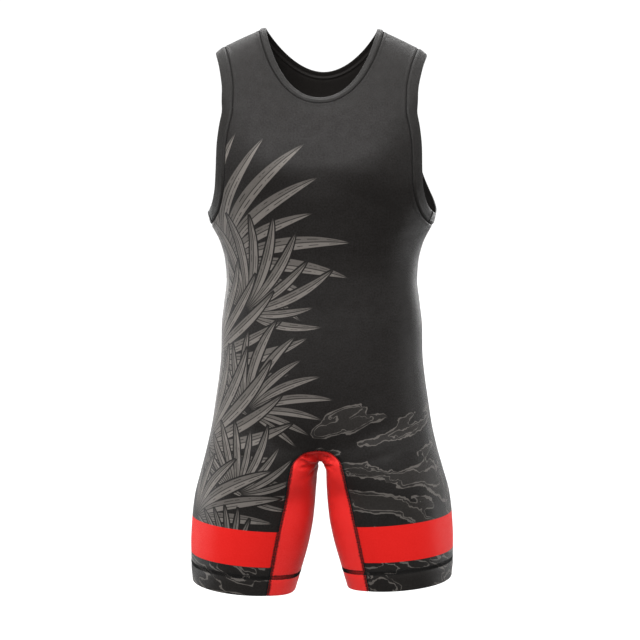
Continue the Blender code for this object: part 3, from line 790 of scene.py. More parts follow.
class Graph:
    """A node tree under construction."""

    def __init__(self, tree):
        self.tree = tree

    def node(self, kind, inputs=(), **settings):
        node = self.tree.nodes.new(kind)
        for name, value in settings.items():
            setattr(node, name, value)
        for key, value in dict(inputs).items():
            self.feed(node.inputs[key], value)
        return node

    def value(self, kind, inputs=(), output=0, **settings):
        """One output of a new node."""
        return Value(self, self.node(kind, inputs, **settings).outputs[output])

    def values(self, node):
        """All outputs of a node, by name."""
        return {socket.name: Value(self, socket) for socket in node.outputs}

    def feed(self, socket, value):
        if isinstance(value, Value):
            self.tree.links.new(value.socket, socket)
        else:
            socket.default_value = value

    def math(self, operation, *values):
        return self.value("ShaderNodeMath", enumerate(values), operation=operation)

    def most(self, first, second):
        return self.math("MAXIMUM", first, second)

    def xyz(self, x=0.0, y=0.0, z=0.0):
        return self.value("ShaderNodeCombineXYZ", {"X": x, "Y": y, "Z": z})

    def split(self, vector):
        return list(self.values(self.node("ShaderNodeSeparateXYZ", {0: vector})).values())

    def scaled(self, vector, share):
        return self.value("ShaderNodeVectorMath", {0: vector, 3: share}, operation="SCALE")

    def smooth(self, value, low, high):
        """0 where value is at or below low, 1 at or above high, smooth between."""
        inputs = {"Value": value, "From Min": low, "From Max": high}
        return self.value("ShaderNodeMapRange", inputs, interpolation_type="SMOOTHSTEP")

    def mix(self, share, first, second):
        return self.value("ShaderNodeMix", {0: share, 6: first, 7: second}, output=2, data_type="RGBA")

    def blend(self, share, first, second):
        return self.value("ShaderNodeMix", {0: share, 2: first, 3: second}, data_type="FLOAT")

    def noise(self, vector, scale, detail=2.0, roughness=0.5):
        inputs = {"Vector": vector, "Scale": scale, "Detail": detail, "Roughness": roughness}
        return self.value("ShaderNodeTexNoise", inputs, noise_dimensions="3D")

    def random(self, seed):
        return self.value("ShaderNodeTexWhiteNoise", {"W": seed}, noise_dimensions="1D")


def thread_bend(g, steps, start, middle, end, circle):
    """A short thread that leaves the cloth at start, bends over middle and enters it again at end."""
    bend = g.value("GeometryNodeCurveQuadraticBezier", {
        "Resolution": steps, "Start": start, "Middle": middle, "End": end})
    return g.value("GeometryNodeCurveToMesh", {"Curve": bend, "Profile Curve": circle, "Fill Caps": True})


def uneven_by(g, low, high, seed):
    """Random vectors with each part between low and high."""
    inputs = {"Min": (low,) * 3, "Max": (high,) * 3, "Seed": seed}
    return g.value("FunctionNodeRandomValue", inputs, data_type="FLOAT_VECTOR")


def stitched_seam_tree():
    """Stitches along a path whose points carry the cloth's outward direction as "up": at every pitch a looper
    thread over the seam, and rows of short needle threads along it."""
    sizes = {name.title(): "Int" if name == "rows" else "Float" for name in STITCH_COLUMNS}
    tree = geometry_tree("Stitched Seam", sizes)
    g = Graph(tree)
    given = g.values(g.node("NodeGroupInput"))
    thread = given["Thread"]
    sink = thread * -0.5
    circle = g.value("GeometryNodeCurvePrimitiveCircle", {"Resolution": THREAD_SIDES, "Radius": thread})

    half, lean = given["Width"] * 0.5, given["Lean"] * 0.5
    crown = (given["Crown"] + thread) * 2.0
    looper = thread_bend(
        g, LOOPER_STEPS, g.xyz(-lean, -half, sink), g.xyz(0.0, 0.0, crown), g.xyz(lean, half, sink), circle)

    reach, over = given["Pitch"] * NEEDLE_REACH, thread * NEEDLE_ARCH
    needle = thread_bend(
        g, NEEDLE_STEPS, g.xyz(-reach, 0.0, sink), g.xyz(0.0, 0.0, over), g.xyz(reach, 0.0, sink), circle)
    gaps = g.most(given["Rows"] - 1.0, 1.0)
    line = g.value("GeometryNodeMeshLine", {
        "Count": given["Rows"], "Start Location": g.xyz(0.0, given["Span"] * -0.5),
        "Offset": g.xyz(0.0, given["Span"] / gaps)}, mode="OFFSET")
    needles = g.value("GeometryNodeInstanceOnPoints", {"Points": line, "Instance": needle})
    stitch = g.node("GeometryNodeJoinGeometry")
    g.feed(stitch.inputs[0], looper)
    g.feed(stitch.inputs[0], needles)

    path = g.value("GeometryNodeMeshToCurve", {"Mesh": given["Geometry"]})
    points = g.value("GeometryNodeResampleCurve", {"Curve": path, "Length": given["Pitch"]}, mode="LENGTH")
    up = g.value("GeometryNodeInputNamedAttribute", {"Name": "up"}, data_type="FLOAT_VECTOR")
    turn = g.value("FunctionNodeAxesToRotation", {
        "Primary Axis": g.value("GeometryNodeInputTangent"), "Secondary Axis": up},
        primary_axis="X", secondary_axis="Z")
    placed = g.value("GeometryNodeInstanceOnPoints", {
        "Points": points, "Instance": Value(g, stitch.outputs[0]), "Rotation": turn,
        "Scale": uneven_by(g, 1.0 - STITCH_UNEVEN, 1.0 + STITCH_UNEVEN, STITCH_SEED)})
    turned = g.value("GeometryNodeRotateInstances", {
        "Instances": placed, "Rotation": uneven_by(g, -STITCH_WOBBLE, STITCH_WOBBLE, STITCH_SEED + 1)})
    real = g.value("GeometryNodeRealizeInstances", {"Geometry": turned})
    smooth = g.value("GeometryNodeSetShadeSmooth", {"Geometry": real})
    dyed = g.value("GeometryNodeSetMaterial", {"Geometry": smooth, "Material": given["Thread Material"]})
    g.feed(g.node("NodeGroupOutput").inputs[0], dyed)
    return tree


def sew(name, tree, style, paths, thread):
    """Stitches of one style along the paths, each a list of points, a list of normals and whether it closes."""
    vertices, ups, edges = [], [], []
    for points, normals, closed in paths:
        first = len(vertices)
        vertices += [tuple(point) for point in points]
        ups += [tuple(normal) for normal in normals]
        edges += [(first + i, first + i + 1) for i in range(len(points) - 1)]
        if closed:
            edges.append((len(vertices) - 1, first))
    mesh = bpy.data.meshes.new(name)
    mesh.from_pydata(vertices, edges, [])
    mesh.attributes.new("up", "FLOAT_VECTOR", "POINT").data.foreach_set("vector", np.array(ups).ravel())
    obj = add_object(name, mesh)
    modifier = obj.modifiers.new("stitches", "NODES")
    modifier.node_group = tree
    values = {**dict(zip(STITCH_COLUMNS, STITCHES[style])), "thread material": thread}
    for item in tree.interface.items_tree:
        if item.in_out == "INPUT" and item.name.lower() in values:
            modifier[item.identifier] = values[item.name.lower()]
    return bake(obj)


def bake(obj):
    """Turns the evaluated object into a plain mesh without modifiers."""
    bpy.context.view_layer.update()
    depsgraph = bpy.context.evaluated_depsgraph_get()
    mesh = bpy.data.meshes.new_from_object(obj.evaluated_get(depsgraph), depsgraph=depsgraph)
    obj.modifiers.clear()
    path = obj.data
    obj.data = mesh
    bpy.data.meshes.remove(path)
    mesh.name = obj.name
    return obj


# Colours of cloth, print and thread
CHARCOAL = (0.0084, 0.0073, 0.0067, 1.0)
CHARCOAL_INSIDE = (0.0143, 0.0129, 0.0120, 1.0)
BAND_CHARCOAL = (0.0096, 0.0086, 0.0079, 1.0)
PRINT_GREY = (0.1250, 0.1129, 0.1029, 1.0)
PRINT_SHADE = (0.0557, 0.0504, 0.0457, 1.0)
CAMO_LINE = (0.0857, 0.0775, 0.0707, 1.0)
CAMO_FILL = (0.0286, 0.0259, 0.0236, 1.0)
PRINT_RED = (0.6000, 0.0136, 0.0111, 1.0)
# The gusset's red is lighter than the band's printed red: painted light, standing in for fill light that the
# gusset's inward-turned faces lack.
GUSSET_RED_PAINTED_LIGHTER = (0.7000, 0.0207, 0.0179, 1.0)
RED_INSIDE = (0.2500, 0.0100, 0.0086, 1.0)
THREAD_BLACK = (0.0025, 0.0024, 0.0024, 1.0)
# The edge thread's lighter brown is partly its own colour and partly a painted glint, standing in for light
# dots on glossy thread.
THREAD_BROWN_AND_GLINT = (0.0300, 0.0250, 0.0230, 1.0)

CHARCOAL_SPECULAR, CHARCOAL_SHEEN = 0.155, 0.11
RED_SPECULAR, RED_SHEEN = 0.07, 0.03
GUSSET_SPECULAR, GUSSET_SHEEN = 0.24, 0.10
INSIDE_SPECULAR, INSIDE_SHEEN = 0.07, 0.0
SHEEN_ROUGHNESS = 0.2

# Knit: its loops in metres, its grain, and the speckle of its yarn as a share and the least of each look
WALE, COURSE = 0.00062, 0.00050
LOOP_SLANT, LOOP_RELIEF, CREPE_RELIEF = 1.6, 0.6, 1.8
CREPE_NOISE, BROAD_NOISE = (360.0, 3.0, 0.7), (60.0, 3.0, 0.6)
CREPE_SHARE = 0.75
GRAIN_DEPTH, GRAIN_STRENGTH = 0.00018, 0.4
SPECKLE_TONE, LEAST_TONE = 0.2, 0.90
SPECKLE_ROUGHNESS, LEAST_ROUGHNESS = 0.16, 0.36
SPECKLE_GLINT, GLINT_FROM, LEAST_GLINT = 2.6, -0.3, 0.1

# Thread: its fibres as noise, and their share and least in tone and roughness
FIBRE_NOISE = (4000.0, 2.0, 0.6)
FIBRE_TONE, LEAST_FIBRE_TONE = 0.9, 0.55
FIBRE_ROUGHNESS, LEAST_FIBRE_ROUGHNESS = 0.3, 0.45
FIBRE_DEPTH, FIBRE_STRENGTH = 0.0001, 0.5
BLACK_SPECULAR, BROWN_AND_GLINT_SPECULAR = 0.2, 0.6

# Palm fans on the flat cut: root in metres, direction and spread in degrees, and how the blades bend and part
FAN_COLUMNS = ("Root U", "Root V", "Facing", "Spread", "Blades", "Length", "Bend", "Parting")
FRONT_FANS = {
    "chest fan":  (-.176, .505, 54, 76, 11, .255, -1.2, .30),
    "heart fan":  (-.120, .440, 60, 92, 12, .185, 2.0, .26),
    "rib fan":    (-.214, .372, 16, 78, 11, .220, 1.8, .30),
    "waist fan":  (-.112, .286, 66, 94, 12, .160, -2.2, .26),
    "belly fan":  (-.216, .232, 10, 80, 11, .205, 1.6, .30),
    "groin fan":  (-.128, .160, 56, 90, 12, .130, 2.2, .26),
    "hip fan":    (-.218, .104, 26, 76, 10, .185, -1.6, .30),
    "thigh fan":  (-.142, .050, 84, 80, 11, .110, 1.8, .28),
}
BACK_FANS = {
    "blade fan":  (-.184, .520, 58, 72, 10, .170, 1.4, .30),
    "rib fan":    (-.132, .452, 62, 92, 12, .125, -2.0, .26),
    "flank fan":  (-.214, .382, 18, 78, 11, .165, 1.8, .30),
    "waist fan":  (-.130, .302, 58, 92, 12, .130, 2.2, .26),
    "hip fan":    (-.218, .236, 10, 80, 11, .175, -1.6, .30),
    "seat fan":   (-.140, .164, 60, 92, 12, .120, -2.2, .26),
    "low fan":    (-.220, .110, 26, 76, 10, .150, 1.6, .30),
    "thigh fan":  (-.158, .052, 80, 80, 11, .095, -1.8, .28),
}
FAN_STEM, FAN_SEED_STEP = 0.010, 17.0

# Their blades: shares of length and width, and edges in metres, each from nought to full
SHORTER_AT_SIDES = 0.30
LEAST_BLADE, BLADE_UNEVEN, BLADE_TAPER = 0.76, 0.24, 0.85
BLADE_EDGE, COVER_EDGE, RIB_EDGE = (0.0003, 0.0009), (-0.0026, -0.0016), (0.0011, 0.0005)
VEIN_PLACE, VEIN_EDGE, VEIN_START = 0.52, (0.10, 0.03), (0.10, 0.30)
BREAKS_ALONG, BREAKS_ACROSS, BREAK_EDGE = 70.0, 1.7, (0.46, 0.54)
LINE_DARKNESS = 0.85
ROOT_SHADE, FOLD_SHADE = (0.34, 0.04), 0.62

# Torn shapes: where they lie in the flat cut, their noise, and how they differ at the hip and the hem
CAMO_FROM_U, CAMO_FULL_U = -0.030, 0.010
CAMO_TOP_V, CAMO_FULL_V = 0.325, 0.285
CAMO_CENTRE = (0.10, 0.18, 0.0)
CAMO_SLANT_LOW, CAMO_SLANT_HIGH = 0.42, -0.26
CAMO_TURNS_FROM, CAMO_TURNS_TO = 0.10, 0.26
CAMO_SIZE, CAMO_STRETCH = 39.0, 0.30
CAMO_LEVEL, CAMO_LEVEL_OUTSIDE, INNER_LEVEL = 0.505, 0.85, 0.085
CAMO_NOISE, CAMO_STEP, LEAST_SLOPE = (1.0, 1.0, 0.45), 0.0008, 2.0
TEAR_NOISE, TEAR_REACH = (70.0, 2.0, 0.5), 0.0110
LINE_NOISE, LINE_UNEVEN, LINE_FROM = (60.0, 1.0, 0.5), 3.0, -0.75
INNER_LINE = 0.6
CAMO_EDGE, FILL_EDGE = (-0.0002, 0.0003), (0.0, 0.0006)
FRONT_CAMO_SEED, BACK_CAMO_SEED = 5.3, 7.7
HIP_LINE, HEM_LINE = 0.0014, 0.0020
HIP_FILL, HEM_FILL = 0.45, 0.12
PRINT_EDGE, HEM_EDGE = 0.0004, 0.001


def shader_group(name, inputs, outputs):
    """A shader node group with named sockets: its graph, what it is given and where its results go."""
    tree = bpy.data.node_groups.new(name, "ShaderNodeTree")
    for in_out, sockets in (("INPUT", inputs), ("OUTPUT", {name: "Float" for name in outputs})):
        for socket, kind in sockets.items():
            tree.interface.new_socket(socket, in_out=in_out, socket_type="NodeSocket" + kind)
    g = Graph(tree)
    return g, g.values(g.node("NodeGroupInput")), g.node("NodeGroupOutput").inputs


def knit_grain_group():
    """Fine jersey: two slanting legs in each wale, and a speckle where the yarn takes the dye unevenly."""
    inputs = {"Flat": "Vector", "Wale": "Float", "Course": "Float"}
    g, given, result = shader_group("Knit Grain", inputs, ("Height", "Speckle"))
    u, v, _ = g.split(given["Flat"])
    across = u / given["Wale"]
    from_rib = abs(g.math("FRACT", across) - 0.5)
    up = v / given["Course"] + from_rib * LOOP_SLANT
    loop = g.math("COSINE", up * (2.0 * math.pi)) * 0.5 + 0.5
    leg = abs(g.math("SINE", across * (2.0 * math.pi)))
    crepe, broad = g.noise(given["Flat"], *CREPE_NOISE), g.noise(given["Flat"], *BROAD_NOISE)
    g.feed(result["Height"], crepe * CREPE_RELIEF + leg * (loop * LOOP_RELIEF + (1.0 - LOOP_RELIEF)))
    g.feed(result["Speckle"], crepe * CREPE_SHARE + broad * (1.0 - CREPE_SHARE))
    return g.tree


def palm_fan_group():
    """A pleated palm fan round one root: blades that touch near it and part into points, each folded along its
    rib into a light and a shaded half, and all that the fan hides."""
    sizes = {name: "Float" for name in (*FAN_COLUMNS, "Seed")}
    g, given, result = shader_group("Palm Fan", {"Flat": "Vector", **sizes}, ("Blade", "Shade", "Cover"))
    u, v, _ = g.split(given["Flat"])
    x, y = u - given["Root U"], v - given["Root V"]
    radius = g.math("SQRT", x * x + y * y)
    angle = g.math("ARCTAN2", y, x) - (given["Bend"] * radius + given["Facing"])
    share = g.math("WRAP", angle, math.pi, -math.pi) / given["Spread"] * 0.5 + 0.5
    place = share * given["Blades"]
    aside = g.math("FRACT", place) - 0.5
    chance = g.random(g.math("FLOOR", place) + given["Seed"])
    from_middle = abs(share * 2.0 - 1.0)
    length = given["Length"] * (1.0 - from_middle * from_middle * SHORTER_AT_SIDES)
    length = length * (chance * BLADE_UNEVEN + LEAST_BLADE)
    along = (radius - FAN_STEM) / (length - FAN_STEM)
    inside = (place > 0.0) * (place < given["Blades"]) * (along > 0.0) * (along < 1.0)
    sector = given["Spread"] * 2.0 / given["Blades"] * radius
    away = abs(aside) * sector
    taper = (1.0 - along) / (1.0 - given["Parting"])
    taper = g.math("POWER", g.math("MINIMUM", g.most(taper, 0.0), 1.0), BLADE_TAPER)
    half = sector * 0.5 * taper
    edge = half - away
    rib = g.smooth(away, *RIB_EDGE)
    broken = g.noise(g.xyz(radius * BREAKS_ALONG, place * BREAKS_ACROSS, chance), 1.0)
    vein = g.smooth(abs(away / half - VEIN_PLACE), *VEIN_EDGE) * g.smooth(broken, *BREAK_EDGE)
    vein = vein * g.smooth(along, *VEIN_START)
    lit = 1.0 - g.most(rib, vein) * LINE_DARKNESS
    g.feed(result["Blade"], g.smooth(edge, *BLADE_EDGE) * inside * lit)
    g.feed(result["Shade"], g.most(g.smooth(along, *ROOT_SHADE), (aside > 0.0) * FOLD_SHADE))
    g.feed(result["Cover"], g.smooth(edge, *COVER_EDGE) * inside)
    return g.tree


def torn_shapes_group():
    """Ragged slanting shapes, stretched sideways: two lines of uneven width, one in the other, and a fill."""
    inputs = {"Flat": "Vector", "Slant": "Float", "Level": "Float", "Line": "Float", "Seed": "Float"}
    g, given, result = shader_group("Torn Shapes", inputs, ("Outline", "Fill"))
    turned = g.value("ShaderNodeVectorRotate", {
        "Vector": given["Flat"], "Center": CAMO_CENTRE, "Angle": given["Slant"]}, rotation_type="Z_AXIS")
    x, y, _ = g.split(turned)
    torn = (g.noise(turned, *TEAR_NOISE) - 0.5) * TEAR_REACH
    long_x, tall_y = x * CAMO_STRETCH + torn, y + torn

    def heights(dx, dy):
        at = g.xyz(long_x + dx, tall_y + dy, given["Seed"])
        return g.noise(g.scaled(at, CAMO_SIZE), *CAMO_NOISE)

    here = heights(0.0, 0.0)
    slope_x = (heights(CAMO_STEP, 0.0) - here) * (CAMO_STRETCH / CAMO_STEP)
    slope_y = (heights(0.0, CAMO_STEP) - here) / CAMO_STEP
    slope = g.most(g.math("SQRT", slope_x * slope_x + slope_y * slope_y), LEAST_SLOPE)
    width = given["Line"] * (g.noise(turned, *LINE_NOISE) * LINE_UNEVEN + LINE_FROM)
    outer = (here - given["Level"]) / slope
    inner = (here - (given["Level"] + INNER_LEVEL)) / slope
    outer_line = g.smooth(width - abs(outer), *CAMO_EDGE)
    inner_line = g.smooth(width * INNER_LINE - abs(inner), *CAMO_EDGE)
    g.feed(result["Outline"], g.most(outer_line, inner_line))
    g.feed(result["Fill"], g.smooth(outer, *FILL_EDGE))
    return g.tree


class Finish(Graph):
    """A material under construction."""

    def __init__(self, name):
        self.material = bpy.data.materials.new(name)
        self.material.use_nodes = True
        super().__init__(self.material.node_tree)
        self.shader = self.tree.nodes["Principled BSDF"]

    def flat(self):
        """The place in the flat cut."""
        return self.value("ShaderNodeUVMap", uv_map=FLAT_MAP)

    def group(self, tree, inputs):
        node = self.node("ShaderNodeGroup", node_tree=tree)
        for name, value in inputs.items():
            self.feed(node.inputs[name], value)
        return self.values(node)

    def set(self, inputs):
        for name, value in inputs.items():
            self.feed(self.shader.inputs[name], value)

    def bump(self, height, distance, strength):
        return self.value("ShaderNodeBump", {"Height": height, "Distance": distance, "Strength": strength})


def leaf_print(f, flat, fan_group, fans):
    """Overlapping palm fans in two greys on charcoal, each hiding what lies under it."""
    colour = CHARCOAL
    for number, fan in enumerate(by_name(FAN_COLUMNS, fans.values())):
        fan.update({angle: math.radians(fan[angle]) for angle in ("Facing", "Spread")})
        palm = f.group(fan_group, {"Flat": flat, "Seed": FAN_SEED_STEP * number, **fan})
        grey = f.mix(palm["Shade"], PRINT_GREY, PRINT_SHADE)
        colour = f.mix(palm["Blade"], f.mix(palm["Cover"], colour, CHARCOAL), grey)
    return colour


def panel_finish(name, groups, fans, seed):
    """Charcoal knit: leaf print on one side, torn shapes on the other hip and both hems, and red bands."""
    f = Finish(name)
    flat = f.flat()
    u, v, _ = f.split(flat)
    hem = f.smooth(v, RED_BAND_FROM + HEM_EDGE, RED_BAND_FROM - HEM_EDGE)
    hip = f.smooth(u, CAMO_FROM_U, CAMO_FULL_U) * f.smooth(v, CAMO_TOP_V, CAMO_FULL_V)
    colour = f.mix(hem, leaf_print(f, flat, groups["palm fan"], fans), CHARCOAL)
    camo = f.group(groups["torn shapes"], {
        "Flat": flat,
        "Slant": f.blend(f.smooth(v, CAMO_TURNS_FROM, CAMO_TURNS_TO), CAMO_SLANT_LOW, CAMO_SLANT_HIGH),
        "Level": f.blend(f.most(hem, hip), CAMO_LEVEL_OUTSIDE, CAMO_LEVEL),
        "Line": f.blend(hem, HIP_LINE, HEM_LINE), "Seed": seed})
    colour = f.mix(camo["Fill"] * f.blend(hem, HIP_FILL, HEM_FILL), colour, CAMO_FILL)
    colour = f.mix(camo["Outline"], colour, CAMO_LINE)
    band = f.smooth(v, RED_BAND_FROM - PRINT_EDGE, RED_BAND_FROM + PRINT_EDGE) * f.smooth(
        v, RED_BAND_TO + PRINT_EDGE, RED_BAND_TO - PRINT_EDGE)
    colour = f.mix(band, colour, PRINT_RED)
    specular = f.blend(band, CHARCOAL_SPECULAR, RED_SPECULAR)
    return knit(f, flat, groups, colour, specular, f.blend(band, CHARCOAL_SHEEN, RED_SHEEN))


def knit(f, flat, groups, colour, specular, sheen):
    """Gives the cloth its grain, speckle and soft sheen."""
    grain = f.group(groups["knit grain"], {"Flat": flat, "Wale": WALE, "Course": COURSE})
    speckle = grain["Speckle"]
    f.set({
        "Base Color": f.scaled(colour, speckle * SPECKLE_TONE + LEAST_TONE),
        "Roughness": speckle * SPECKLE_ROUGHNESS + LEAST_ROUGHNESS,
        "Specular IOR Level": f.most(speckle * SPECKLE_GLINT + GLINT_FROM, LEAST_GLINT) * specular,
        "Sheen Weight": sheen,
        "Sheen Roughness": SHEEN_ROUGHNESS,
        "Normal": f.bump(grain["Height"], GRAIN_DEPTH, GRAIN_STRENGTH),
    })
    return f.material


def plain_knit(name, groups, colour, specular, sheen):
    f = Finish(name)
    return knit(f, f.flat(), groups, colour[:3], specular, sheen)


def thread_finish(name, colour, specular):
    """Twisted polyester thread."""
    f = Finish(name)
    fibre = f.noise(f.value("ShaderNodeTexCoord", output="Object"), *FIBRE_NOISE)
    f.set({
        "Base Color": f.scaled(colour[:3], fibre * FIBRE_TONE + LEAST_FIBRE_TONE),
        "Roughness": fibre * FIBRE_ROUGHNESS + LEAST_FIBRE_ROUGHNESS,
        "Specular IOR Level": specular,
        "Normal": f.bump(fibre, FIBRE_DEPTH, FIBRE_STRENGTH),
    })
    return f.material


# Studio
CAMERA_AT = (-0.0024, -2.8, -0.30)
CAMERA_TILT = math.radians(3.18)
CAMERA_LENS, CAMERA_SENSOR, CAMERA_SEES = 100.06, 36.0, 100.0
FLOOR_Z, FLOOR_HALF = -1.35, 30.0
FLOOR_GREY, FLOOR_ROUGHNESS = (0.12, 0.12, 0.12, 1.0), 0.9
WHITE = (1.0, 1.0, 1.0, 1.0)
LIGHT_COLUMNS = ("x", "y", "z", "width", "height", "watts")
LIGHTS = {
    "front softbox": (-0.35, -1.4, 0.5, 1.0, 0.7, 27.0),
    "top softbox":   (-0.2, 0.0, 1.7, 2.0, 1.2, 12.0),
    "back softbox":  (0.0, 1.3, 1.5, 1.8, 0.7, 25.0),
    "left softbox":  (-1.25, 1.9, 0.1, 0.8, 1.4, 20.0),
    "right softbox": (1.25, 1.9, 0.1, 0.8, 1.4, 20.0),
    "low left box":  (-2.0, 0.8, -1.0, 0.9, 0.5, 14.0),
    "low right box": (2.0, 1.0, -1.1, 0.9, 0.5, 11.0),
}
AIM = (0.0, 0.0, -0.40)

# Glow of the white room: what each part adds, what the front and back lose, and from where to where it grows
GLOW_BELOW, GLOW_LEVEL, GLOW_ABOVE = 0.35, 0.42, 1.40
GLOW_BEHIND, GLOW_ASIDE, GLOW_SEEN = 1.8, 0.6, 1.1
FRONT_LOSES, BACK_LOSES = 0.45, 0.8
LEVEL_EDGE, ABOVE_EDGE = (-1.0, 0.0), (0.0, 0.8)
FRONT_EDGE, BACK_EDGE, BEHIND_EDGE, ASIDE_EDGE = (-0.5, -0.95), (0.5, 0.9), (0.92, 0.98), (0.7, 0.95)


def light_studio():
    world = bpy.data.worlds.new("white studio")
    world.use_nodes = True
    g = Graph(world.node_tree)
    background = world.node_tree.nodes["Background"].inputs
    aside, back, up = g.split(g.value("ShaderNodeTexCoord", output="Generated"))
    low = g.smooth(up, *LEVEL_EDGE) * GLOW_LEVEL + GLOW_BELOW
    low = low * (1.0 - g.smooth(back, *FRONT_EDGE) * FRONT_LOSES)
    glow = (low + g.smooth(up, *ABOVE_EDGE) * GLOW_ABOVE) * (1.0 - g.smooth(back, *BACK_EDGE) * BACK_LOSES)
    glow = glow + g.smooth(back, *BEHIND_EDGE) * GLOW_BEHIND + g.smooth(abs(aside), *ASIDE_EDGE) * GLOW_ASIDE
    seen = g.value("ShaderNodeLightPath", output="Is Camera Ray")
    g.feed(background["Strength"], g.blend(seen, glow, GLOW_SEEN))
    g.feed(background["Color"], WHITE)
    scene = bpy.context.scene
    scene.world = world
    for name, place in zip(LIGHTS, by_name(LIGHT_COLUMNS, LIGHTS.values())):
        lamp = bpy.data.lights.new(name, "AREA")
        lamp.shape = "RECTANGLE"
        lamp.size, lamp.size_y = place["width"], place["height"]
        lamp.energy = place["watts"]
        obj = add_object(name, lamp)
        obj.location = (place["x"], place["y"], place["z"])
        obj.rotation_euler = (Vector(AIM) - obj.location).to_track_quat("-Z", "Y").to_euler()
    scene.view_settings.view_transform = "Standard"
    scene.view_settings.look = "None"


def lay_floor():
    mesh = bpy.data.meshes.new("studio_floor")
    corners = [(x * FLOOR_HALF, y * FLOOR_HALF, FLOOR_Z) for x, y in ((-1, -1), (1, -1), (1, 1), (-1, 1))]
    mesh.from_pydata(corners, [], [(0, 1, 2, 3)])
    f = Finish("pale floor")
    f.set({
        "Base Color": FLOOR_GREY, "Roughness": FLOOR_ROUGHNESS, "Emission Color": WHITE,
        "Emission Strength": f.value("ShaderNodeLightPath", output="Is Camera Ray")})
    mesh.materials.append(f.material)
    floor = add_object("studio_floor", mesh)


def set_camera():
    camera = bpy.data.cameras.new("camera")
    camera.lens, camera.sensor_width, camera.clip_end = CAMERA_LENS, CAMERA_SENSOR, CAMERA_SEES
    obj = add_object("camera", camera)
    obj.location = CAMERA_AT
    obj.rotation_euler = (math.radians(90.0) - CAMERA_TILT, 0.0, 0.0)
    bpy.context.scene.camera = obj


# Slot of each piece and the flat size of its cut before the cloth was stretched over a body
PIECE_COLUMNS = ("slot", "width", "length", "area")
PIECES = {
    "front_panel":        ("charcoal_cloth", .42, .86, .235),
    "back_panel":         ("charcoal_cloth", .42, .90, .245),
    "crotch_gusset":      ("red_cloth", .23, .50, .065),
    "neck_band":          ("band_cloth", .0110, .66, .0072),
    "armhole_band_left":  ("band_cloth", .0190, .66, .0124),
    "armhole_band_right": ("band_cloth", .0190, .66, .0124),
}


class Garment:
    """The sewn sheet, with the grids and seams that the stitches follow."""

    def __init__(self):
        self.sheet = sheet = Sheet()
        grids = {side: panel_grid(side) for side in SIDES}
        self.flats = {side: panel_cut(grid) for side, grid in grids.items()}
        self.ids = {
            side: sheet.add_both(side + "_panel", grid, self.flats[side], side == "back")
            for side, grid in grids.items()
        }
        gusset = gusset_grid(sheet, self.ids["front"][0], self.ids["back"][0])
        self.flats["gusset"] = gusset_cut(gusset)
        self.ids["gusset"] = sheet.add_both("crotch_gusset", gusset, self.flats["gusset"], True)
        form = np.array(sheet.points)
        sheet.move_to(in_stance(form))
        self.bands = add_bands(sheet)
        strap, panels = len(STRAP_SHARES), self.ids["front"]
        self.side_seams = [ids[strap + ARMHOLE_ROWS:, -1] for ids in panels]
        self.shoulder_seams = [ids[:strap + 1, -1] for ids in panels]
        self.gusset_seams = []
        for side in SIDES:
            left, right = (ids[-len(LEG_STATIONS):, 0] for ids in self.ids[side])
            self.gusset_seams.append(np.concatenate([right[::-1], left[1:]]))
        self.shape_cloth(form)
        self.points = np.array(sheet.points)
        self.normals = sheet.normals()

    def shape_cloth(self, form):
        """Presses the seams, hems, creases and puckers into the sheet, by their places on the unturned form."""
        sheet = self.sheet
        points = np.array(sheet.points)
        band_paths = [along_path(points[ids[:, 0]]) for ids in self.bands.values()]
        flat_seams = self.gusset_seams + self.side_seams + self.shoulder_seams
        flat_paths = [along_path(points[seam]) for seam in flat_seams]
        lift = relief(BAND_SEAM_RELIEF, distances(points, np.vstack(band_paths)))
        lift += relief(FLAT_SEAM_RELIEF, distances(points, np.vstack(flat_paths)))
        lift[:len(form)] += crease_heights(form, CREASES)
        used = {piece: np.array(sheet.used_by(piece)) for piece in PANELS}
        gusset = used["crotch_gusset"]
        lift[gusset] += pucker_heights(form[gusset]) + crease_heights(form[gusset], CROTCH_CREASES)
        sharing = np.bincount(np.concatenate(list(used.values())), minlength=len(points))
        for piece, own in used.items():
            lift[own] += relief(HEM_RELIEF, sheet.heights(piece) - HEM_STITCH_HEIGHT) / sharing[own]
        sheet.move_to(points + sheet.normals() * lift[:, None])

    def seam_path(self, ids, closed=False, proud=0.0):
        return self.points[ids] + self.normals[ids] * proud, self.normals[ids], closed

    def band_seam_path(self, piece, away=0.0):
        """Closed path along the seam of a band, or this far from it into the panel."""
        seam, beside = self.bands[piece][:-1, :2].T
        points, normals, closed = self.seam_path(seam, True, BAND_PROUD)
        if away:
            points = points - unit(self.points[beside] - self.points[seam]) * away - normals * BAND_PROUD
        return points, normals, closed

    def band_join_path(self, piece):
        """Across an armhole band, a little in front of the side seam, where its two ends meet."""
        tops = [seam[0] for seam in self.side_seams]
        ids = self.bands[piece][:-1]
        seam = self.points[ids[:, 0]]
        top = seam[np.isin(ids[:, 0], tops)][0]
        apart = np.abs(np.linalg.norm(seam - top, axis=1) - BAND_JOIN_AHEAD)
        row = ids[np.argmin(np.where(seam[:, 1] < top[1], apart, np.inf))]
        puff = BAND_PUFF * np.sin(np.linspace(0.0, math.pi, BAND_COLUMNS + 1))
        return self.seam_path(row, False, BAND_PROUD + puff[:, None])

    def hem_path(self, half):
        """Closed path of the hem stitches round one leg: front, round the side, back and gusset."""
        path, ups = [], []
        for part, step in (("front", 1), ("back", -1), ("gusset", -1)):
            ids, flat = self.ids[part][half], self.flats[part]
            points, normals = level_path(ids, flat, self.points, self.normals, HEM_STITCH_HEIGHT)
            path += points[::step][:-1]
            ups += normals[::step][:-1]
        return np.array(path), np.array(ups), True


def dress(obj, slot):
    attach(obj, "root")
    return obj


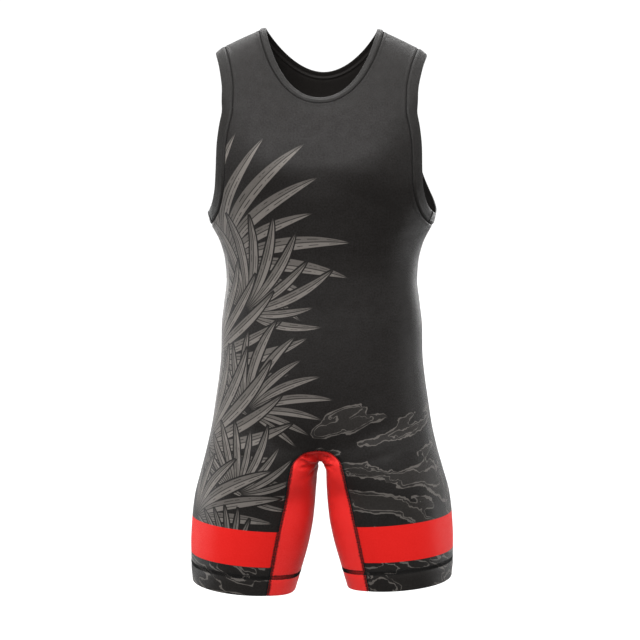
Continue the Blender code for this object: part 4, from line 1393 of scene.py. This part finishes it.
def main():
    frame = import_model()
    light_studio()
    lay_floor()
    set_camera()

    groups = (knit_grain_group(), palm_fan_group(), torn_shapes_group())
    groups = {group.name.lower(): group for group in groups}
    inside = plain_knit("charcoal knit inside", groups, CHARCOAL_INSIDE, INSIDE_SPECULAR, INSIDE_SHEEN)
    band = plain_knit("folded band knit", groups, BAND_CHARCOAL, CHARCOAL_SPECULAR, CHARCOAL_SHEEN)
    finishes = {
        "front_panel": (panel_finish("printed front knit", groups, FRONT_FANS, FRONT_CAMO_SEED), inside),
        "back_panel": (panel_finish("printed back knit", groups, BACK_FANS, BACK_CAMO_SEED), inside),
        # The gusset's red is lightened: painted light.
        "crotch_gusset": (plain_knit("red knit", groups, GUSSET_RED_PAINTED_LIGHTER, GUSSET_SPECULAR, GUSSET_SHEEN),
                          plain_knit("red knit inside", groups, RED_INSIDE, INSIDE_SPECULAR, INSIDE_SHEEN)),
    }
    garment = Garment()
    for piece in frame["nodes"]:
        cloth = build_cloth(garment.sheet, garment.normals, piece)
        for material in finishes.get(piece, (band, inside)):
            cloth.data.materials.append(material)
        cut = dict(zip(PIECE_COLUMNS, PIECES[piece]))
        dress(cloth, cut["slot"])
        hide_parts(piece)

    black = thread_finish("black thread", THREAD_BLACK, BLACK_SPECULAR)
    # Lighter brown thread for the edge stitches: partly its own colour, partly a painted glint, with a higher
    # specular for its real gloss.
    brown_and_glint = thread_finish("brown thread", THREAD_BROWN_AND_GLINT, BROWN_AND_GLINT_SPECULAR)
    tree = stitched_seam_tree()
    side_seams = garment.side_seams + garment.shoulder_seams
    rows = {
        "gusset_seam_stitches": ("flat seam", map(garment.seam_path, garment.gusset_seams)),
        "hem_stitches": ("hem", map(garment.hem_path, (0, 1))),
        "side_seam_stitches": ("side", map(garment.seam_path, side_seams)),
        "neck_stitches": ("band", [garment.band_seam_path("neck_band")]),
        "neck_edge_stitches": ("edge", [garment.band_seam_path("neck_band", EDGE_STITCH_AWAY)]),
        "armhole_stitches": ("band", map(garment.band_seam_path, ARMHOLE_BANDS)),
        "armhole_edge_stitches": ("edge", [
            garment.band_seam_path(piece, EDGE_STITCH_AWAY) for piece in ARMHOLE_BANDS]),
        "band_join_stitches": ("join", map(garment.band_join_path, ARMHOLE_BANDS)),
    }
    for name, (style, paths) in rows.items():
        dress(sew(name, tree, style, paths, brown_and_glint if style == "edge" else black), "black_thread")


main()
